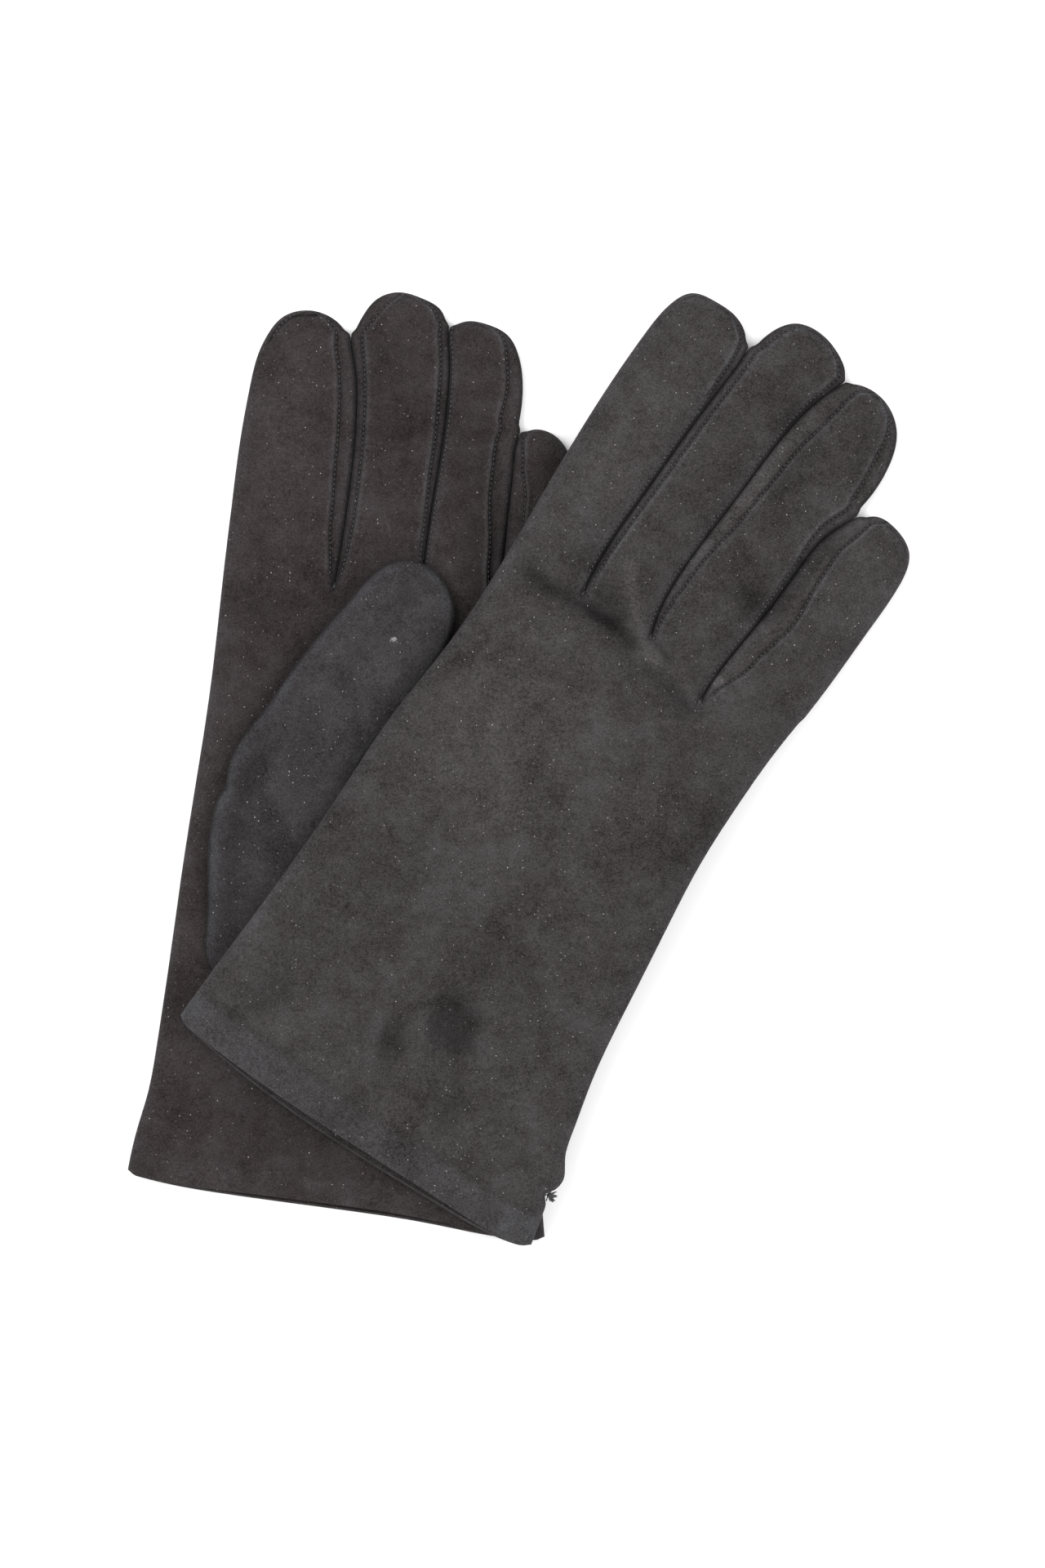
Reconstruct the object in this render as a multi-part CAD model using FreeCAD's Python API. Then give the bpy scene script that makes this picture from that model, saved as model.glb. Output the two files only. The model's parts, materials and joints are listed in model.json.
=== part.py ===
"""A pair of lined suede dress gloves, the right one laid across the left one.

Frame, in millimetres: +Z up, +Y towards the left glove's fingertips, +X towards the right glove's
little finger, and the origin at the centre of the pair's footprint, on the table.
The left glove lies palm up with its thumb folded over the palm. The right glove lies palm down on
top of it, held up by both thumbs, and slopes down to the table at its fingertips.

Each glove is cut from flat pieces. A hand (the trunk of the glove) ends at the knuckle line, and four
finger stalls start there. A stall has a back panel, a palm panel and, between neighbouring fingers,
side strips called forks. Inside the leather is a knitted lining of the same shape.
"""

import FreeCAD
import Part

import math
import os

from FreeCAD import Vector

# Materials and layers
LEATHER = 0.8
LINING = 0.3
PLAY = 0.05            # air between two pieces of one body that lie on each other
GLOVE_THICK = 7.5      # a hand or finger from table side to top side
HALF_GAP = 0.25        # half the air between neighbouring fingers, where an outline gives no gaps of its own
KNUCKLE_GAP = 0.15     # air on each side of the knuckle line
TIP_WALL = 12.0        # how far the back panel wraps down round a fingertip
HEM_DEPTH = 9.0        # turned-in leather at the cuff
HEM_THICK = 0.6

# Thumbs: a flat tube in its own layer on the left palm
THUMB_LOW = 7.8
THUMB_HIGH = 13.3
THUMB_PLAY = 0.4       # air round the thumb's round inner end
THUMB_MERGE = 8.3      # height of the thumb base where it runs out into the palm

# How the right glove lies: its underside is a smooth surface over the left glove and the thumbs
TABLE_CLEAR = 0.3
OVER_GLOVE = 7.9
OVER_THUMBS = 5.5
SLOPE_X = (24.0, 98.0)         # falls to the table between these, towards the little finger
CUFF_RISE_Y = (-72.0, -34.0)   # rises from the left cuff to the thumbs
TIP_FALL_Y = (66.0, 100.0)     # falls behind the thumb tips
TABLE_FALL_Y = (85.0, 130.0)   # falls off the left glove
SURFACE_X = (-112.0, 124.0)
SURFACE_Y = (-148.0, 148.0)
SURFACE_STEPS = 21

# Lengths for building only: past every outline, and how much further than a cut a shape starts or ends
FAR = 400.0
FINGER_ROOT = 24.0     # a finger's outline starts this far behind the knuckle line, and is cut there
OPEN_END = 20.0        # a hollow runs out of the cuff by this much
PAST_CUFF = 60.0       # a hand's sides run on past the cuff by this much before they are cut
MOUTH = 5.0            # a finger's hollow runs this far into the hand, across the knuckle line
BASE_DEPTH = THUMB_HIGH - THUMB_LOW - 0.3

FINGERS = ("index", "middle", "ring", "little")

# Plan outlines. A side runs from the cuff or the crotch towards the fingertips: side 0 is the index
# finger's outer side, sides 1 to 3 the lines between fingers, side 4 the little finger's outer side.
# A tip joins the ends of its finger's two sides. Gaps are half the air at each point of a line, where
# that isn't the same all along it: a fold carries a finger's edge or tip a little towards its neighbour.
LEFT = {
    "sides": [
        [(-108, -111), (-105.5, -100), (-102.5, -90), (-100.2, -78), (-96, -50), (-92.5, -25), (-88.5, 0),
         (-84.8, 25), (-82, 50), (-79, 75), (-76.7, 92), (-74.3, 105)],
        [(-51, 50), (-49.2, 60), (-47, 75), (-45.3, 90), (-44.8, 100), (-45.2, 110)],
        [(-27.3, 47), (-25.8, 60), (-23.5, 75), (-21, 90), (-19.4, 105), (-19.3, 115)],
        [(-7.5, 35), (-5.5, 48), (-4, 60), (-3, 70), (-1.7, 82)],
        [(7, -129.5), (5.6, -110), (5, -90), (5, -55), (5.9, -15), (9, 17), (12.5, 45), (15, 70)],
    ],
    "tips": [
        [(-71.6, 115), (-69.3, 119.5), (-65.5, 124), (-59.5, 126), (-53, 124.7), (-48.5, 121), (-46.4, 116)],
        [(-46, 117), (-43.4, 124), (-39, 129.3), (-33, 131), (-26.5, 129.2), (-21.5, 126), (-20, 121.5)],
        [(-18.9, 120.5), (-15.5, 122.8), (-9, 122.2), (-3, 119), (-0.3, 114), (1, 106), (0.5, 98), (-1, 90)],
        [(0.5, 91), (2.7, 92.8), (6, 93.1), (11, 90.5), (14, 85.5), (15.3, 79)],
    ],
    "gaps": {2: (0.25, 0.25, 0.25, 0.3, 0.35, 0.4)},
    "knuckles": [(-82, 70), (-48.3, 66), (-24.9, 63.1), (-3.7, 60.5), (16, 58.1)],
    "cuff": [(-108, -111), (-98, -114), (-80, -117.5), (-50, -121.8), (-25, -125.5), (-5, -129), (7, -129.5)],
}
RIGHT = {
    "sides": [
        [(-93, -68), (-88, -61), (-79, -49), (-65, -30), (-50, -8.5), (-35, 14), (-20, 33), (-5, 55.5),
         (5, 72.5), (13.5, 87), (25, 105.5), (35, 120)],
        [(17.5, 47.5), (24, 60), (35, 76), (45, 90.3), (55, 103.8)],
        [(36, 35.5), (38, 42), (45, 54.5), (60, 74.5), (75, 94), (85, 103)],
        [(49.5, 18), (55, 26.7), (65, 39), (76, 53.5), (85, 64)],
        [(3.3, -131), (6, -124), (9.5, -114), (15.5, -98), (20, -86), (30, -65), (40, -45), (50, -26), (60, -10.5),
         (70, 3.5), (84, 20.5), (97, 38.5)],
    ],
    "tips": [
        [(42, 128), (47.5, 130.8), (54, 128.5), (60, 124), (62.5, 118), (60.4, 111.5)],
        [(64.4, 115.3), (70, 120.3), (76.5, 122.4), (83, 119.7), (88.5, 113), (89.8, 108)],
        [(91.2, 105.6), (97, 104.1), (102.3, 98.8), (104.2, 92), (102, 83), (97.2, 75), (92.5, 70)],
        [(92.6, 67.6), (98, 69.2), (103.8, 65.8), (107.6, 59), (104.5, 49.5)],
    ],
    "gaps": {1: (0.35, 0.5, 0.35, 0.3, 0.3), 2: (0.35, 0.9, 0.75, 0.3, 0.35, 0.35),
             3: (0.35, 0.45, 0.45, 0.35, 0.35)},
    "knuckles": [(1, 68), (20.8, 53.7), (37.7, 41.6), (56.4, 28.1), (78.5, 12.2)],
    "cuff": [(-93, -68), (-80, -78.3), (-60, -92.5), (-40, -105.5), (-20, -118.3), (-5, -127.5), (3.3, -131)],
}

# A thumb turns in its own plane about its pivot: a point, the radius of its round inner end, its
# direction at rest in degrees clockwise from +Y, and how far it turns, positive anticlockwise
LEFT_THUMB = {
    "pivot": (-62.5, -4), "radius": 18.0, "heading": 37.0, "swing": (0, 45),
    "outline": [(-77.5, 7.5), (-73, 12), (-66.5, 21), (-57, 34), (-45, 48), (-38, 55), (-31.5, 57.2),
                (-24, 54.5), (-18.5, 47.5), (-18, 38), (-25, 25), (-36, 10), (-46, -4), (-49, -13)],
    "base": [(-80.5, -2), (-84, -12), (-85.6, -28), (-86, -43), (-84.8, -56), (-76, -57), (-64, -50),
             (-54, -38), (-45, -22), (-40, -8)],
}
RIGHT_THUMB = {
    "pivot": (-27, -10), "radius": 14.0, "heading": 33.3, "swing": (-8, 0),
    "outline": [(-38, -2), (-31, 8), (-17.5, 28), (-6, 47), (0.5, 55.5), (7, 58), (13, 54), (14.5, 46),
                (10, 35), (-3, 13), (-15, -17)],
    "base": [(-39, 0), (-42, -10), (-39, -20), (-32, -28), (-23, -31), (-14, -28), (-9, -18), (-8, -8)],
}


def smooth(value, low_high):
    """0 below the pair, 1 above it, and a smooth step between."""
    low, high = low_high
    t = min(1.0, max(0.0, (value - low) / (high - low)))
    return t * t * (3 - 2 * t)


def underside(x, y):
    """Height of the right glove's underside over the table."""
    across = 1 - smooth(x, SLOPE_X)
    over_glove = OVER_GLOVE * (1 - smooth(y, TABLE_FALL_Y))
    over_thumbs = OVER_THUMBS * smooth(y, CUFF_RISE_Y) * (1 - smooth(y, TIP_FALL_Y))
    return TABLE_CLEAR + across * (over_glove + over_thumbs)


def steps(low_high, count):
    low, high = low_high
    return [low + (high - low) * i / (count - 1) for i in range(count)]


def draped_face():
    """The right glove's underside as one smooth face."""
    grid = [[Vector(x, y, underside(x, y)) for y in steps(SURFACE_Y, SURFACE_STEPS)]
            for x in steps(SURFACE_X, SURFACE_STEPS)]
    surface = Part.BSplineSurface()
    surface.interpolate(grid)
    return surface.toShape()


def unit(a, b):
    length = math.hypot(b[0] - a[0], b[1] - a[1])
    return ((b[0] - a[0]) / length, (b[1] - a[1]) / length)


def shifted(points, distance):
    """An open line moved sideways, to the left of its direction of travel, by one distance or one per point."""
    distances = distance if isinstance(distance, (list, tuple)) else [distance] * len(points)
    moved = []
    for i, (x, y) in enumerate(points):
        along = unit(points[max(i - 1, 0)], points[min(i + 1, len(points) - 1)])
        moved.append((x - along[1] * distances[i], y + along[0] * distances[i]))
    return moved


def half_gaps(glove, i, margin=0.0):
    """Half the air at each point of a line between two fingers, plus a margin. Nothing at the outer sides."""
    count = len(glove["sides"][i])
    if i in (0, 4):
        return [margin] * count
    return [gap + margin for gap in glove.get("gaps", {}).get(i, [HALF_GAP] * count)]


def curve(points):
    line = Part.BSplineCurve()
    line.interpolate([Vector(x, y, 0) for x, y in points])
    return line.toShape()


def segment(a, b):
    return Part.makeLine(Vector(a[0], a[1], 0), Vector(b[0], b[1], 0))


def face_inside(*lines):
    """A face inside curves laid end to end, each joined to the next by a straight edge if they don't meet."""
    edges = []
    for i, points in enumerate(lines):
        after = lines[(i + 1) % len(lines)]
        edges.append(curve(points))
        if math.dist(points[-1], after[0]) > 1e-6:
            edges.append(segment(points[-1], after[0]))
    return Part.Face(Part.Wire(edges))


def polygon(points):
    ring = [Vector(x, y, 0) for x, y in points]
    return Part.Face(Part.makePolygon(ring + ring[:1]))


def beyond(a, b, gap):
    """The half plane to the left of the line from a to b, starting that gap away from it."""
    ux, uy = unit(a, b)
    start = (a[0] - uy * gap - ux * FAR, a[1] + ux * gap - uy * FAR)
    end = (a[0] - uy * gap + ux * FAR, a[1] + ux * gap + uy * FAR)
    far = [(end[0] - uy * FAR, end[1] + ux * FAR), (start[0] - uy * FAR, start[1] + ux * FAR)]
    return polygon([start, end] + far)


def disc(centre, radius):
    circle = Part.makeCircle(radius, Vector(centre[0], centre[1], 0), Vector(0, 0, -1))
    return Part.Face(Part.Wire(circle))


class Sheet:
    """Cuts solids out of the space over a base face, or over the table, between two heights above it."""

    def __init__(self, base=None):
        self.base = base
        self.bands = {}

    def solid(self, plan, low, high):
        """The part of that height range which lies over a plan face."""
        if self.base is None:
            raised = plan.copy()
            raised.translate(Vector(0, 0, low))
            return raised.extrude(Vector(0, 0, high - low))
        if (low, high) not in self.bands:
            lifted = self.base.copy()
            lifted.translate(Vector(0, 0, low))
            self.bands[(low, high)] = lifted.extrude(Vector(0, 0, high - low))
        column = plan.copy()
        column.translate(Vector(0, 0, -FAR))
        return column.extrude(Vector(0, 0, 2 * FAR)).common(self.bands[(low, high)])


def largest_first(shape):
    return sorted(shape.Faces, key=lambda face: -face.Area)


def export(name, shape):
    """Writes one node. Every solid in it has to be valid and closed."""
    solids = [s for s in shape.Solids if s.Volume > 0.01]
    if not solids or any(not s.isValid() for s in solids):
        raise ValueError(f"{name} has no valid solid")
    body = solids[0] if len(solids) == 1 else Part.makeCompound(solids)
    body.exportStep(os.path.join("parts", f"{name}.step"))


def finger_outline(glove, i):
    """Up one side, round the tip and down the other, from below the knuckle line."""
    a, b = glove["knuckles"][i], glove["knuckles"][i + 1]
    ux, uy = unit(a, b)
    rising = shifted(glove["sides"][i], [-gap for gap in half_gaps(glove, i)])
    falling = shifted(glove["sides"][i + 1], half_gaps(glove, i + 1))

    def near(points):
        return [p for p in points if -(p[0] - a[0]) * uy + (p[1] - a[1]) * ux > -FINGER_ROOT]

    return near(rising) + glove["tips"][i] + near(falling)[::-1]


def finger_faces(glove, i):
    """The stall's plan face, its wall ring split into outer side, inner side and tip, and its lining's faces."""
    a, b = glove["knuckles"][i], glove["knuckles"][i + 1]
    outline = finger_outline(glove, i)
    above = beyond(a, b, KNUCKLE_GAP)
    whole = face_inside(outline).common(above)
    ux, uy = unit(a, b)
    reach = max(-(x - a[0]) * uy + (y - a[1]) * ux for x, y in outline)
    ring = whole.cut(face_inside(shifted(outline, -LEATHER)))
    tip_zone = beyond(a, b, reach - TIP_WALL)
    tip = ring.common(tip_zone)
    sides = sorted(ring.cut(tip_zone).Faces, key=lambda f: f.CenterOfMass.x * ux + f.CenterOfMass.y * uy)
    lining_outer = face_inside(shifted(outline, -LEATHER - PLAY)).common(above)
    lining_inner = face_inside(shifted(outline, -LEATHER - PLAY - LINING))
    return whole, sides, tip, lining_outer, lining_inner


def layered(sheet, plan, wall, back_is_low):
    """A panel with the wall that is cut in one piece with it, and the panel on the other side."""
    low = sheet.solid(plan, 0, LEATHER)
    high = sheet.solid(plan, GLOVE_THICK - LEATHER, GLOVE_THICK)
    back, palm = (low, high) if back_is_low else (high, low)
    walls = [sheet.solid(face, LEATHER, GLOVE_THICK - LEATHER) for face in wall]
    return back.multiFuse(walls).removeSplitter(), palm


def lining_sleeve(sheet, outer, inner):
    """A thin knitted sleeve just inside the leather."""
    low, high = LEATHER + PLAY, GLOVE_THICK - LEATHER - PLAY
    return sheet.solid(outer, low, high).cut(sheet.solid(inner, low + LINING, high - LINING))


def make_finger(side, sheet, glove, i):
    name = f"{side}_{FINGERS[i]}"
    whole, sides, tip, lining_outer, lining_inner = finger_faces(glove, i)
    wrapped = list(tip.Faces)
    if i == 0:
        wrapped.append(sides[0])
    if i == 3:
        wrapped.append(sides[-1])
    back, palm = layered(sheet, whole, wrapped, side == "left")
    export(f"{name}_back", back)
    export(f"{name}_palm", palm)
    forks = {"_fork": sides[-1]} if i == 0 else {"_fork": sides[0]} if i == 3 else {
        "_fork_index_side": sides[0], "_fork_little_side": sides[-1]}
    for suffix, face in forks.items():
        export(name + suffix, sheet.solid(face, LEATHER, GLOVE_THICK - LEATHER))
    export(f"{name}_lining", lining_sleeve(sheet, lining_outer, lining_inner))


def below_knuckles(glove, gap):
    """Everything on the cuff's side of the knuckle line."""
    knuckles = glove["knuckles"]
    ux, uy = unit(knuckles[0], knuckles[-1])
    lowered = [(x + uy * gap, y - ux * gap) for x, y in knuckles]
    first, last = lowered[0], lowered[-1]
    start = (first[0] - ux * FAR, first[1] - uy * FAR)
    end = (last[0] + ux * FAR, last[1] + uy * FAR)
    corners = [(end[0] + uy * FAR, end[1] - ux * FAR), (start[0] + uy * FAR, start[1] - ux * FAR)]
    return polygon([start] + lowered + [end] + corners)


def hand_face(glove, inset, cuff_shift):
    """The hand's plan face up to the knuckle line, its sides moved in by an inset and its cuff by cuff_shift,
    which is positive towards the fingers."""
    dx, dy = cuff_direction(glove)
    cuff = [(x + dx * cuff_shift, y + dy * cuff_shift) for x, y in glove["cuff"]]
    start, end = extended(cuff, OPEN_END), extended(cuff[::-1], OPEN_END)
    over_cuff = face_inside(cuff, [end, (end[0] + dx * FAR, end[1] + dy * FAR)],
                            [(start[0] + dx * FAR, start[1] + dy * FAR), start])
    index_side = shifted(glove["sides"][0], -inset)
    little_side = shifted(glove["sides"][4], inset)
    index_line = [extended(index_side, PAST_CUFF)] + index_side
    little_line = [extended(little_side, PAST_CUFF)] + little_side
    between = face_inside(index_line, little_line[::-1])
    return between.common(over_cuff).common(below_knuckles(glove, KNUCKLE_GAP))


def extended(points, distance):
    """A point that distance back from the start of a line."""
    ux, uy = unit(points[0], points[1])
    return (points[0][0] - ux * distance, points[0][1] - uy * distance)


def cuff_direction(glove):
    """The direction from the cuff towards the fingers."""
    ux, uy = unit(glove["cuff"][0], glove["cuff"][-1])
    return -uy, ux


def slit(glove, i, margin):
    """The gap between two fingers, widened by a margin, which ends at its crotch."""
    side = glove["sides"][i]
    start = extended(side, margin) if margin else side[0]
    line = [start] + side[1:]
    halves = half_gaps(glove, i, margin)
    return face_inside(shifted(line, halves), shifted(line, [-half for half in halves])[::-1])


def make_hand(side, sheet, glove):
    slits = [slit(glove, i, 0) for i in (1, 2, 3)]
    whole = hand_face(glove, 0, 0)
    plan = whole
    for opening in slits:
        plan = plan.cut(opening)
    ring = whole.cut(hand_face(glove, LEATHER, -OPEN_END))
    walls = largest_first(ring)[:2]
    back, palm = layered(sheet, plan, walls, side == "left")
    export(f"{side}_hand_back", back)
    export(f"{side}_hand_palm", palm)

    hand = hand_face(glove, LEATHER + PLAY, 0)
    for i, opening in zip((1, 2, 3), slits):
        web = slit(glove, i, LEATHER).cut(opening).common(hand)
        name = f"{side}_{FINGERS[i - 1]}_{FINGERS[i]}_crotch"
        export(name, sheet.solid(largest_first(web)[0], LEATHER, GLOVE_THICK - LEATHER))

    low, high = LEATHER + PLAY, GLOVE_THICK - LEATHER - PLAY
    hem_zone = hand.cut(hand_face(glove, 0, HEM_DEPTH))
    hem_hole = hand_face(glove, LEATHER + PLAY + HEM_THICK, -OPEN_END)
    hem = sheet.solid(hem_zone, low, high).cut(sheet.solid(hem_hole, low + HEM_THICK, high - HEM_THICK))
    export(f"{side}_cuff_hem", hem)

    lining_plan = hand_face(glove, LEATHER + PLAY, HEM_DEPTH + PLAY)
    lining_hole = hand_face(glove, LEATHER + PLAY + LINING, -OPEN_END)
    for i in (1, 2, 3):
        lining_plan = lining_plan.cut(slit(glove, i, LEATHER + PLAY))
        lining_hole = lining_hole.cut(slit(glove, i, LEATHER + PLAY + LINING))
    lining_hole = lining_hole.fuse(finger_mouths(glove)).removeSplitter()
    export(f"{side}_hand_lining", lining_sleeve(sheet, lining_plan, lining_hole))


def finger_mouths(glove):
    """A narrow strip across each finger's mouth, which keeps the lining open towards the finger."""
    strips = []
    for i in range(4):
        inside = face_inside(shifted(finger_outline(glove, i), -LEATHER - PLAY - LINING))
        above = beyond(glove["knuckles"][i], glove["knuckles"][i + 1], -MOUTH)
        strips.append(inside.common(below_knuckles(glove, -MOUTH)).common(above))
    return strips[0].multiFuse(strips[1:])


def direction(heading):
    """A unit vector at that many degrees clockwise from +Y."""
    return math.sin(math.radians(heading)), math.cos(math.radians(heading))


def thumb_plan(thumb, inset):
    """The moving thumb from above: its outline joined to a round inner end about the pivot, moved in."""
    outline = face_inside(shifted(thumb["outline"], -inset))
    joined = outline.fuse(disc(thumb["pivot"], thumb["radius"] - inset)).removeSplitter()
    return largest_first(joined)[0]


def thumb_base_plan(thumb):
    """The fixed thumb base from above, clear of the thumb over its whole swing."""
    px, py = thumb["pivot"]
    plan = face_inside(thumb["base"])
    for turn in thumb["swing"]:
        dx, dy = direction(thumb["heading"] - turn)
        behind = beyond((px, py), (px - dy, py + dx), THUMB_PLAY)
        plan = plan.common(behind)
    return largest_first(plan.cut(disc(thumb["pivot"], thumb["radius"] + THUMB_PLAY)))[0]


def make_thumb(side, thumb):
    """The moving thumb: a tube cut from one piece of leather, shown as its front, its back and its lining."""
    plan = thumb_plan(thumb, 0)
    ring = plan.cut(thumb_plan(thumb, LEATHER))
    sheet = Sheet()
    low = sheet.solid(plan, THUMB_LOW, THUMB_LOW + LEATHER)
    high = sheet.solid(plan, THUMB_HIGH - LEATHER, THUMB_HIGH)
    wall = sheet.solid(ring, THUMB_LOW + LEATHER, THUMB_HIGH - LEATHER)
    export(f"{side}_thumb_under", low)
    export(f"{side}_thumb_top", high.fuse(wall).removeSplitter())
    outer = thumb_plan(thumb, LEATHER + PLAY)
    hole = thumb_plan(thumb, LEATHER + PLAY + LINING)
    bottom, top = THUMB_LOW + LEATHER + PLAY, THUMB_HIGH - LEATHER - PLAY
    sleeve = sheet.solid(outer, bottom, top).cut(sheet.solid(hole, bottom + LINING, top - LINING))
    export(f"{side}_thumb_lining", sleeve)


def make_thumb_bases(draped):
    """The set-in leather at each thumb's root: the left one is a wedge that runs out into the palm, and the
    right one hangs under its palm."""
    plan = thumb_base_plan(LEFT_THUMB)
    box = plan.BoundBox
    low_end, high_end = box.YMin - 1, box.YMax + 1
    profile = [(low_end, GLOVE_THICK), (low_end, THUMB_MERGE), (LEFT_THUMB["pivot"][1], THUMB_HIGH),
               (high_end, THUMB_HIGH), (high_end, GLOVE_THICK)]
    ring = [Vector(box.XMin, y, z) for y, z in profile]
    wedge = Part.Face(Part.makePolygon(ring + ring[:1])).extrude(Vector(box.XLength, 0, 0))
    export("left_thumb_base", plan.extrude(Vector(0, 0, 2 * THUMB_HIGH)).common(wedge))
    export("right_thumb_base", draped.solid(thumb_base_plan(RIGHT_THUMB), -BASE_DEPTH, 0))


def main():
    os.makedirs("parts", exist_ok=True)
    table = Sheet()
    draped = Sheet(draped_face())
    for side, sheet, glove, thumb in (("left", table, LEFT, LEFT_THUMB), ("right", draped, RIGHT, RIGHT_THUMB)):
        make_hand(side, sheet, glove)
        for i in range(4):
            make_finger(side, sheet, glove, i)
        make_thumb(side, thumb)
    make_thumb_bases(draped)


main()
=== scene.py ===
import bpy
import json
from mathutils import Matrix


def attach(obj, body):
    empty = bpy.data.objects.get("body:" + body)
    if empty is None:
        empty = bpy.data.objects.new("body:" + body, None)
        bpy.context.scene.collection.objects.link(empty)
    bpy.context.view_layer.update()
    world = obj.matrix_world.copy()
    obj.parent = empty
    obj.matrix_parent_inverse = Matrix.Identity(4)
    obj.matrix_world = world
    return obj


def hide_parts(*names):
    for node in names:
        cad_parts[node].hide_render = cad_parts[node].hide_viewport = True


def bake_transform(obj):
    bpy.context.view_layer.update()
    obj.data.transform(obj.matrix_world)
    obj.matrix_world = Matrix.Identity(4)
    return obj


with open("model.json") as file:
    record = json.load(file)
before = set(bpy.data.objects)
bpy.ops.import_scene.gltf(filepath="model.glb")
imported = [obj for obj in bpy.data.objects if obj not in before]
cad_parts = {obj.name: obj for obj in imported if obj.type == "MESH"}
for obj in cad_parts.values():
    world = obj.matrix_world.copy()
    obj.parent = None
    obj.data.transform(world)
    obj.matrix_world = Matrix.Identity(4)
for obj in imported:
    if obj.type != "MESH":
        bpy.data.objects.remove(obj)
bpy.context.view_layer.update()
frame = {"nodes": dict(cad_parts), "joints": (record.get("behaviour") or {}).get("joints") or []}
joints = {joint["name"]: joint for joint in frame["joints"]}

import json
import math

import bmesh
import bpy
import numpy as np
from mathutils import Vector

# Everything is worked out in millimetres in the row frame, and turned into metres when a mesh is made.
MM = 0.001
BATCH = 2000  # how many points at once are compared with a line
FINGERS = ("index", "middle", "ring", "little")
UP = np.array([0.0, 0.0, 1.0])

# The leather, and how a glove lies when it is pressed flat
LEATHER = 0.8
SKIVED = 0.42  # leather thinned along a seam
FORK_LEATHER = 0.5
THUMB_LEATHER = 0.72
EDGE_RISE = 2.1  # the folded edge of the leather: half its height, and how far in it is rounded
EDGE_WIDE = 1.3
UNDER_RISE = 0.97  # the underside's part of that half height
EDGE_FADE = 2.0  # what lies on the leather fades out over this reach from the outline
SWELL = 2.8  # how much the leather over the hand or finger stands above its edge
SWELL_FROM = 0.4
SWELL_REACH = 5.5
WAVES = ((34, 0.45), (13, 0.22), (5, 0.07))  # how unevenly it lies: sizes of bumps and their heights
CUFF_PRESS = 0.28  # part of the swell that is pressed out at the cuff
PRESS_REACH = 45.0
LINING_GAP = 0.95
FINGER_LINING_GAP = 1.2
LINING_THICK = 0.3
LINING_END = 0.93  # part of a finger's length, from its crotch, that its lining fills
GAP_END = 0.93  # part of a finger's side that lies beside its neighbour
KNUCKLE_GAP = 0.15  # the CAD panels start this far from the knuckle line
ON_LINE = 0.4  # a CAD corner this near to a line lies on it
SLIT_FLOOR = 0.6  # corners this near to a slit's lowest are its bottom
TOUCH_REACH = (2.1, 3.2)  # fingers nearer than the first meet, and further apart than the second don't

# The turned-in hem of the cuff: its leather, where it ends and how it shows on the outside
HEM_DEPTH = 8.5
HEM_THICK = 0.57
HEM_WANDER = (11, 0.9)  # its end wanders in bumps of this size and height
HEM_RISE = 0.34
HEM_STEP = (-1.2, 0.6)  # where the rise starts and ends, from the hem's end
HEM_LINE = 0.22  # depth and width of the line where it ends
HEM_LINE_WIDE = 1.1
HEM_NAP_AND_SHADE = {"left": 0.05, "right": 0.17}  # how much lighter its nap is, and how dark the painted shade in the line where it ends
CUFF_REACH = {"left": (-2.5, -0.9), "right": (0, 2.3)}  # how far the cuff's two layers bow out
CORNER_ROUND = 1.1  # the cuff's corners are rounded off by this much, over this width
CORNER_WIDE = 1.6
CUFF_BEAD = 0.5  # the edge is rounded off by this height, over this width
CUFF_BEAD_WIDE = 0.9
PLY_GAP = 0.03
# The tacked vent on the right glove's little side, and the dents in the edge by it: how much further from
# the cuff, how deep (negative for a bulge) and how wide
VENT_FROM_CUFF = 15.0
VENT_DENTS = ((5.5, -2.3, 4.5), (-1, 1.5, 1.6))

# How dark the painted shade is by a crease and in a gap between fingers, and how strong the painted highlight
# and cool painted sheen are along the rim and the cuff's edge
CREASE_SHADE = 0.5
GAP_SHADE = 0.6
GAP_WIDE = 1.0
RIM_IN = 1.3
RIM_PAINTED_HIGHLIGHT = 0.1
RIM_PAINTED_SHEEN = 0.35
CUFF_RIM_PAINTED_HIGHLIGHT = 0.14

# Grid of a finger: columns across each fork and across the panel between them, and rows along it
FORK_COLUMNS = 9
FORK_CROWDING = 0.7  # how far a fork's columns crowd towards its edges
PANEL_COLUMNS = 26
PANEL_END = FORK_COLUMNS + PANEL_COLUMNS
FINGER_ROWS = 88
HAND_ROWS = 150
HAND_CROWDING = 0.019  # how far the hand's rows crowd towards both ends

# A seam: the panel's edge is a rounded ridge, and the fork starts lower, under it
RAISE = 0.6
RIDGE_IN = 0.8
RIDGE_WIDE = 0.65
SINK = 0.55
SINK_REACH = 1.3
FORK_DIP = 0.17  # a fork sags between its seam and its edge by this part of its width
UNDER_SEAM = 1.6  # the lower panel's seams, from the outline
TIP_SEAM = 1.1  # the seam round a fingertip, from the outline
TIP_STRENGTH = {"left": 0.55, "right": 1.0}  # how clearly it shows
SEAM_SHADE = 0.8  # how dark the painted shade in the groove of a seam is
FORK_LIGHT = 0.14  # how much lighter the forks are, and how strong the painted highlight on the ridges is
RIDGE_PAINTED_HIGHLIGHT = 0.8
STITCH_PITCH = 1.35
STITCH_LENGTH = 0.8
STITCH_WIDTH = 0.3
STITCH_STANDS = 0.08  # a stitch's middle stands this far off the leather
TACK_TURNS = 5  # the bound thread at each crotch
TACK_WIDTH = 0.34
FRAYED_TACK = ("right", 2)
VENT_THREAD = 0.36

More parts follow.
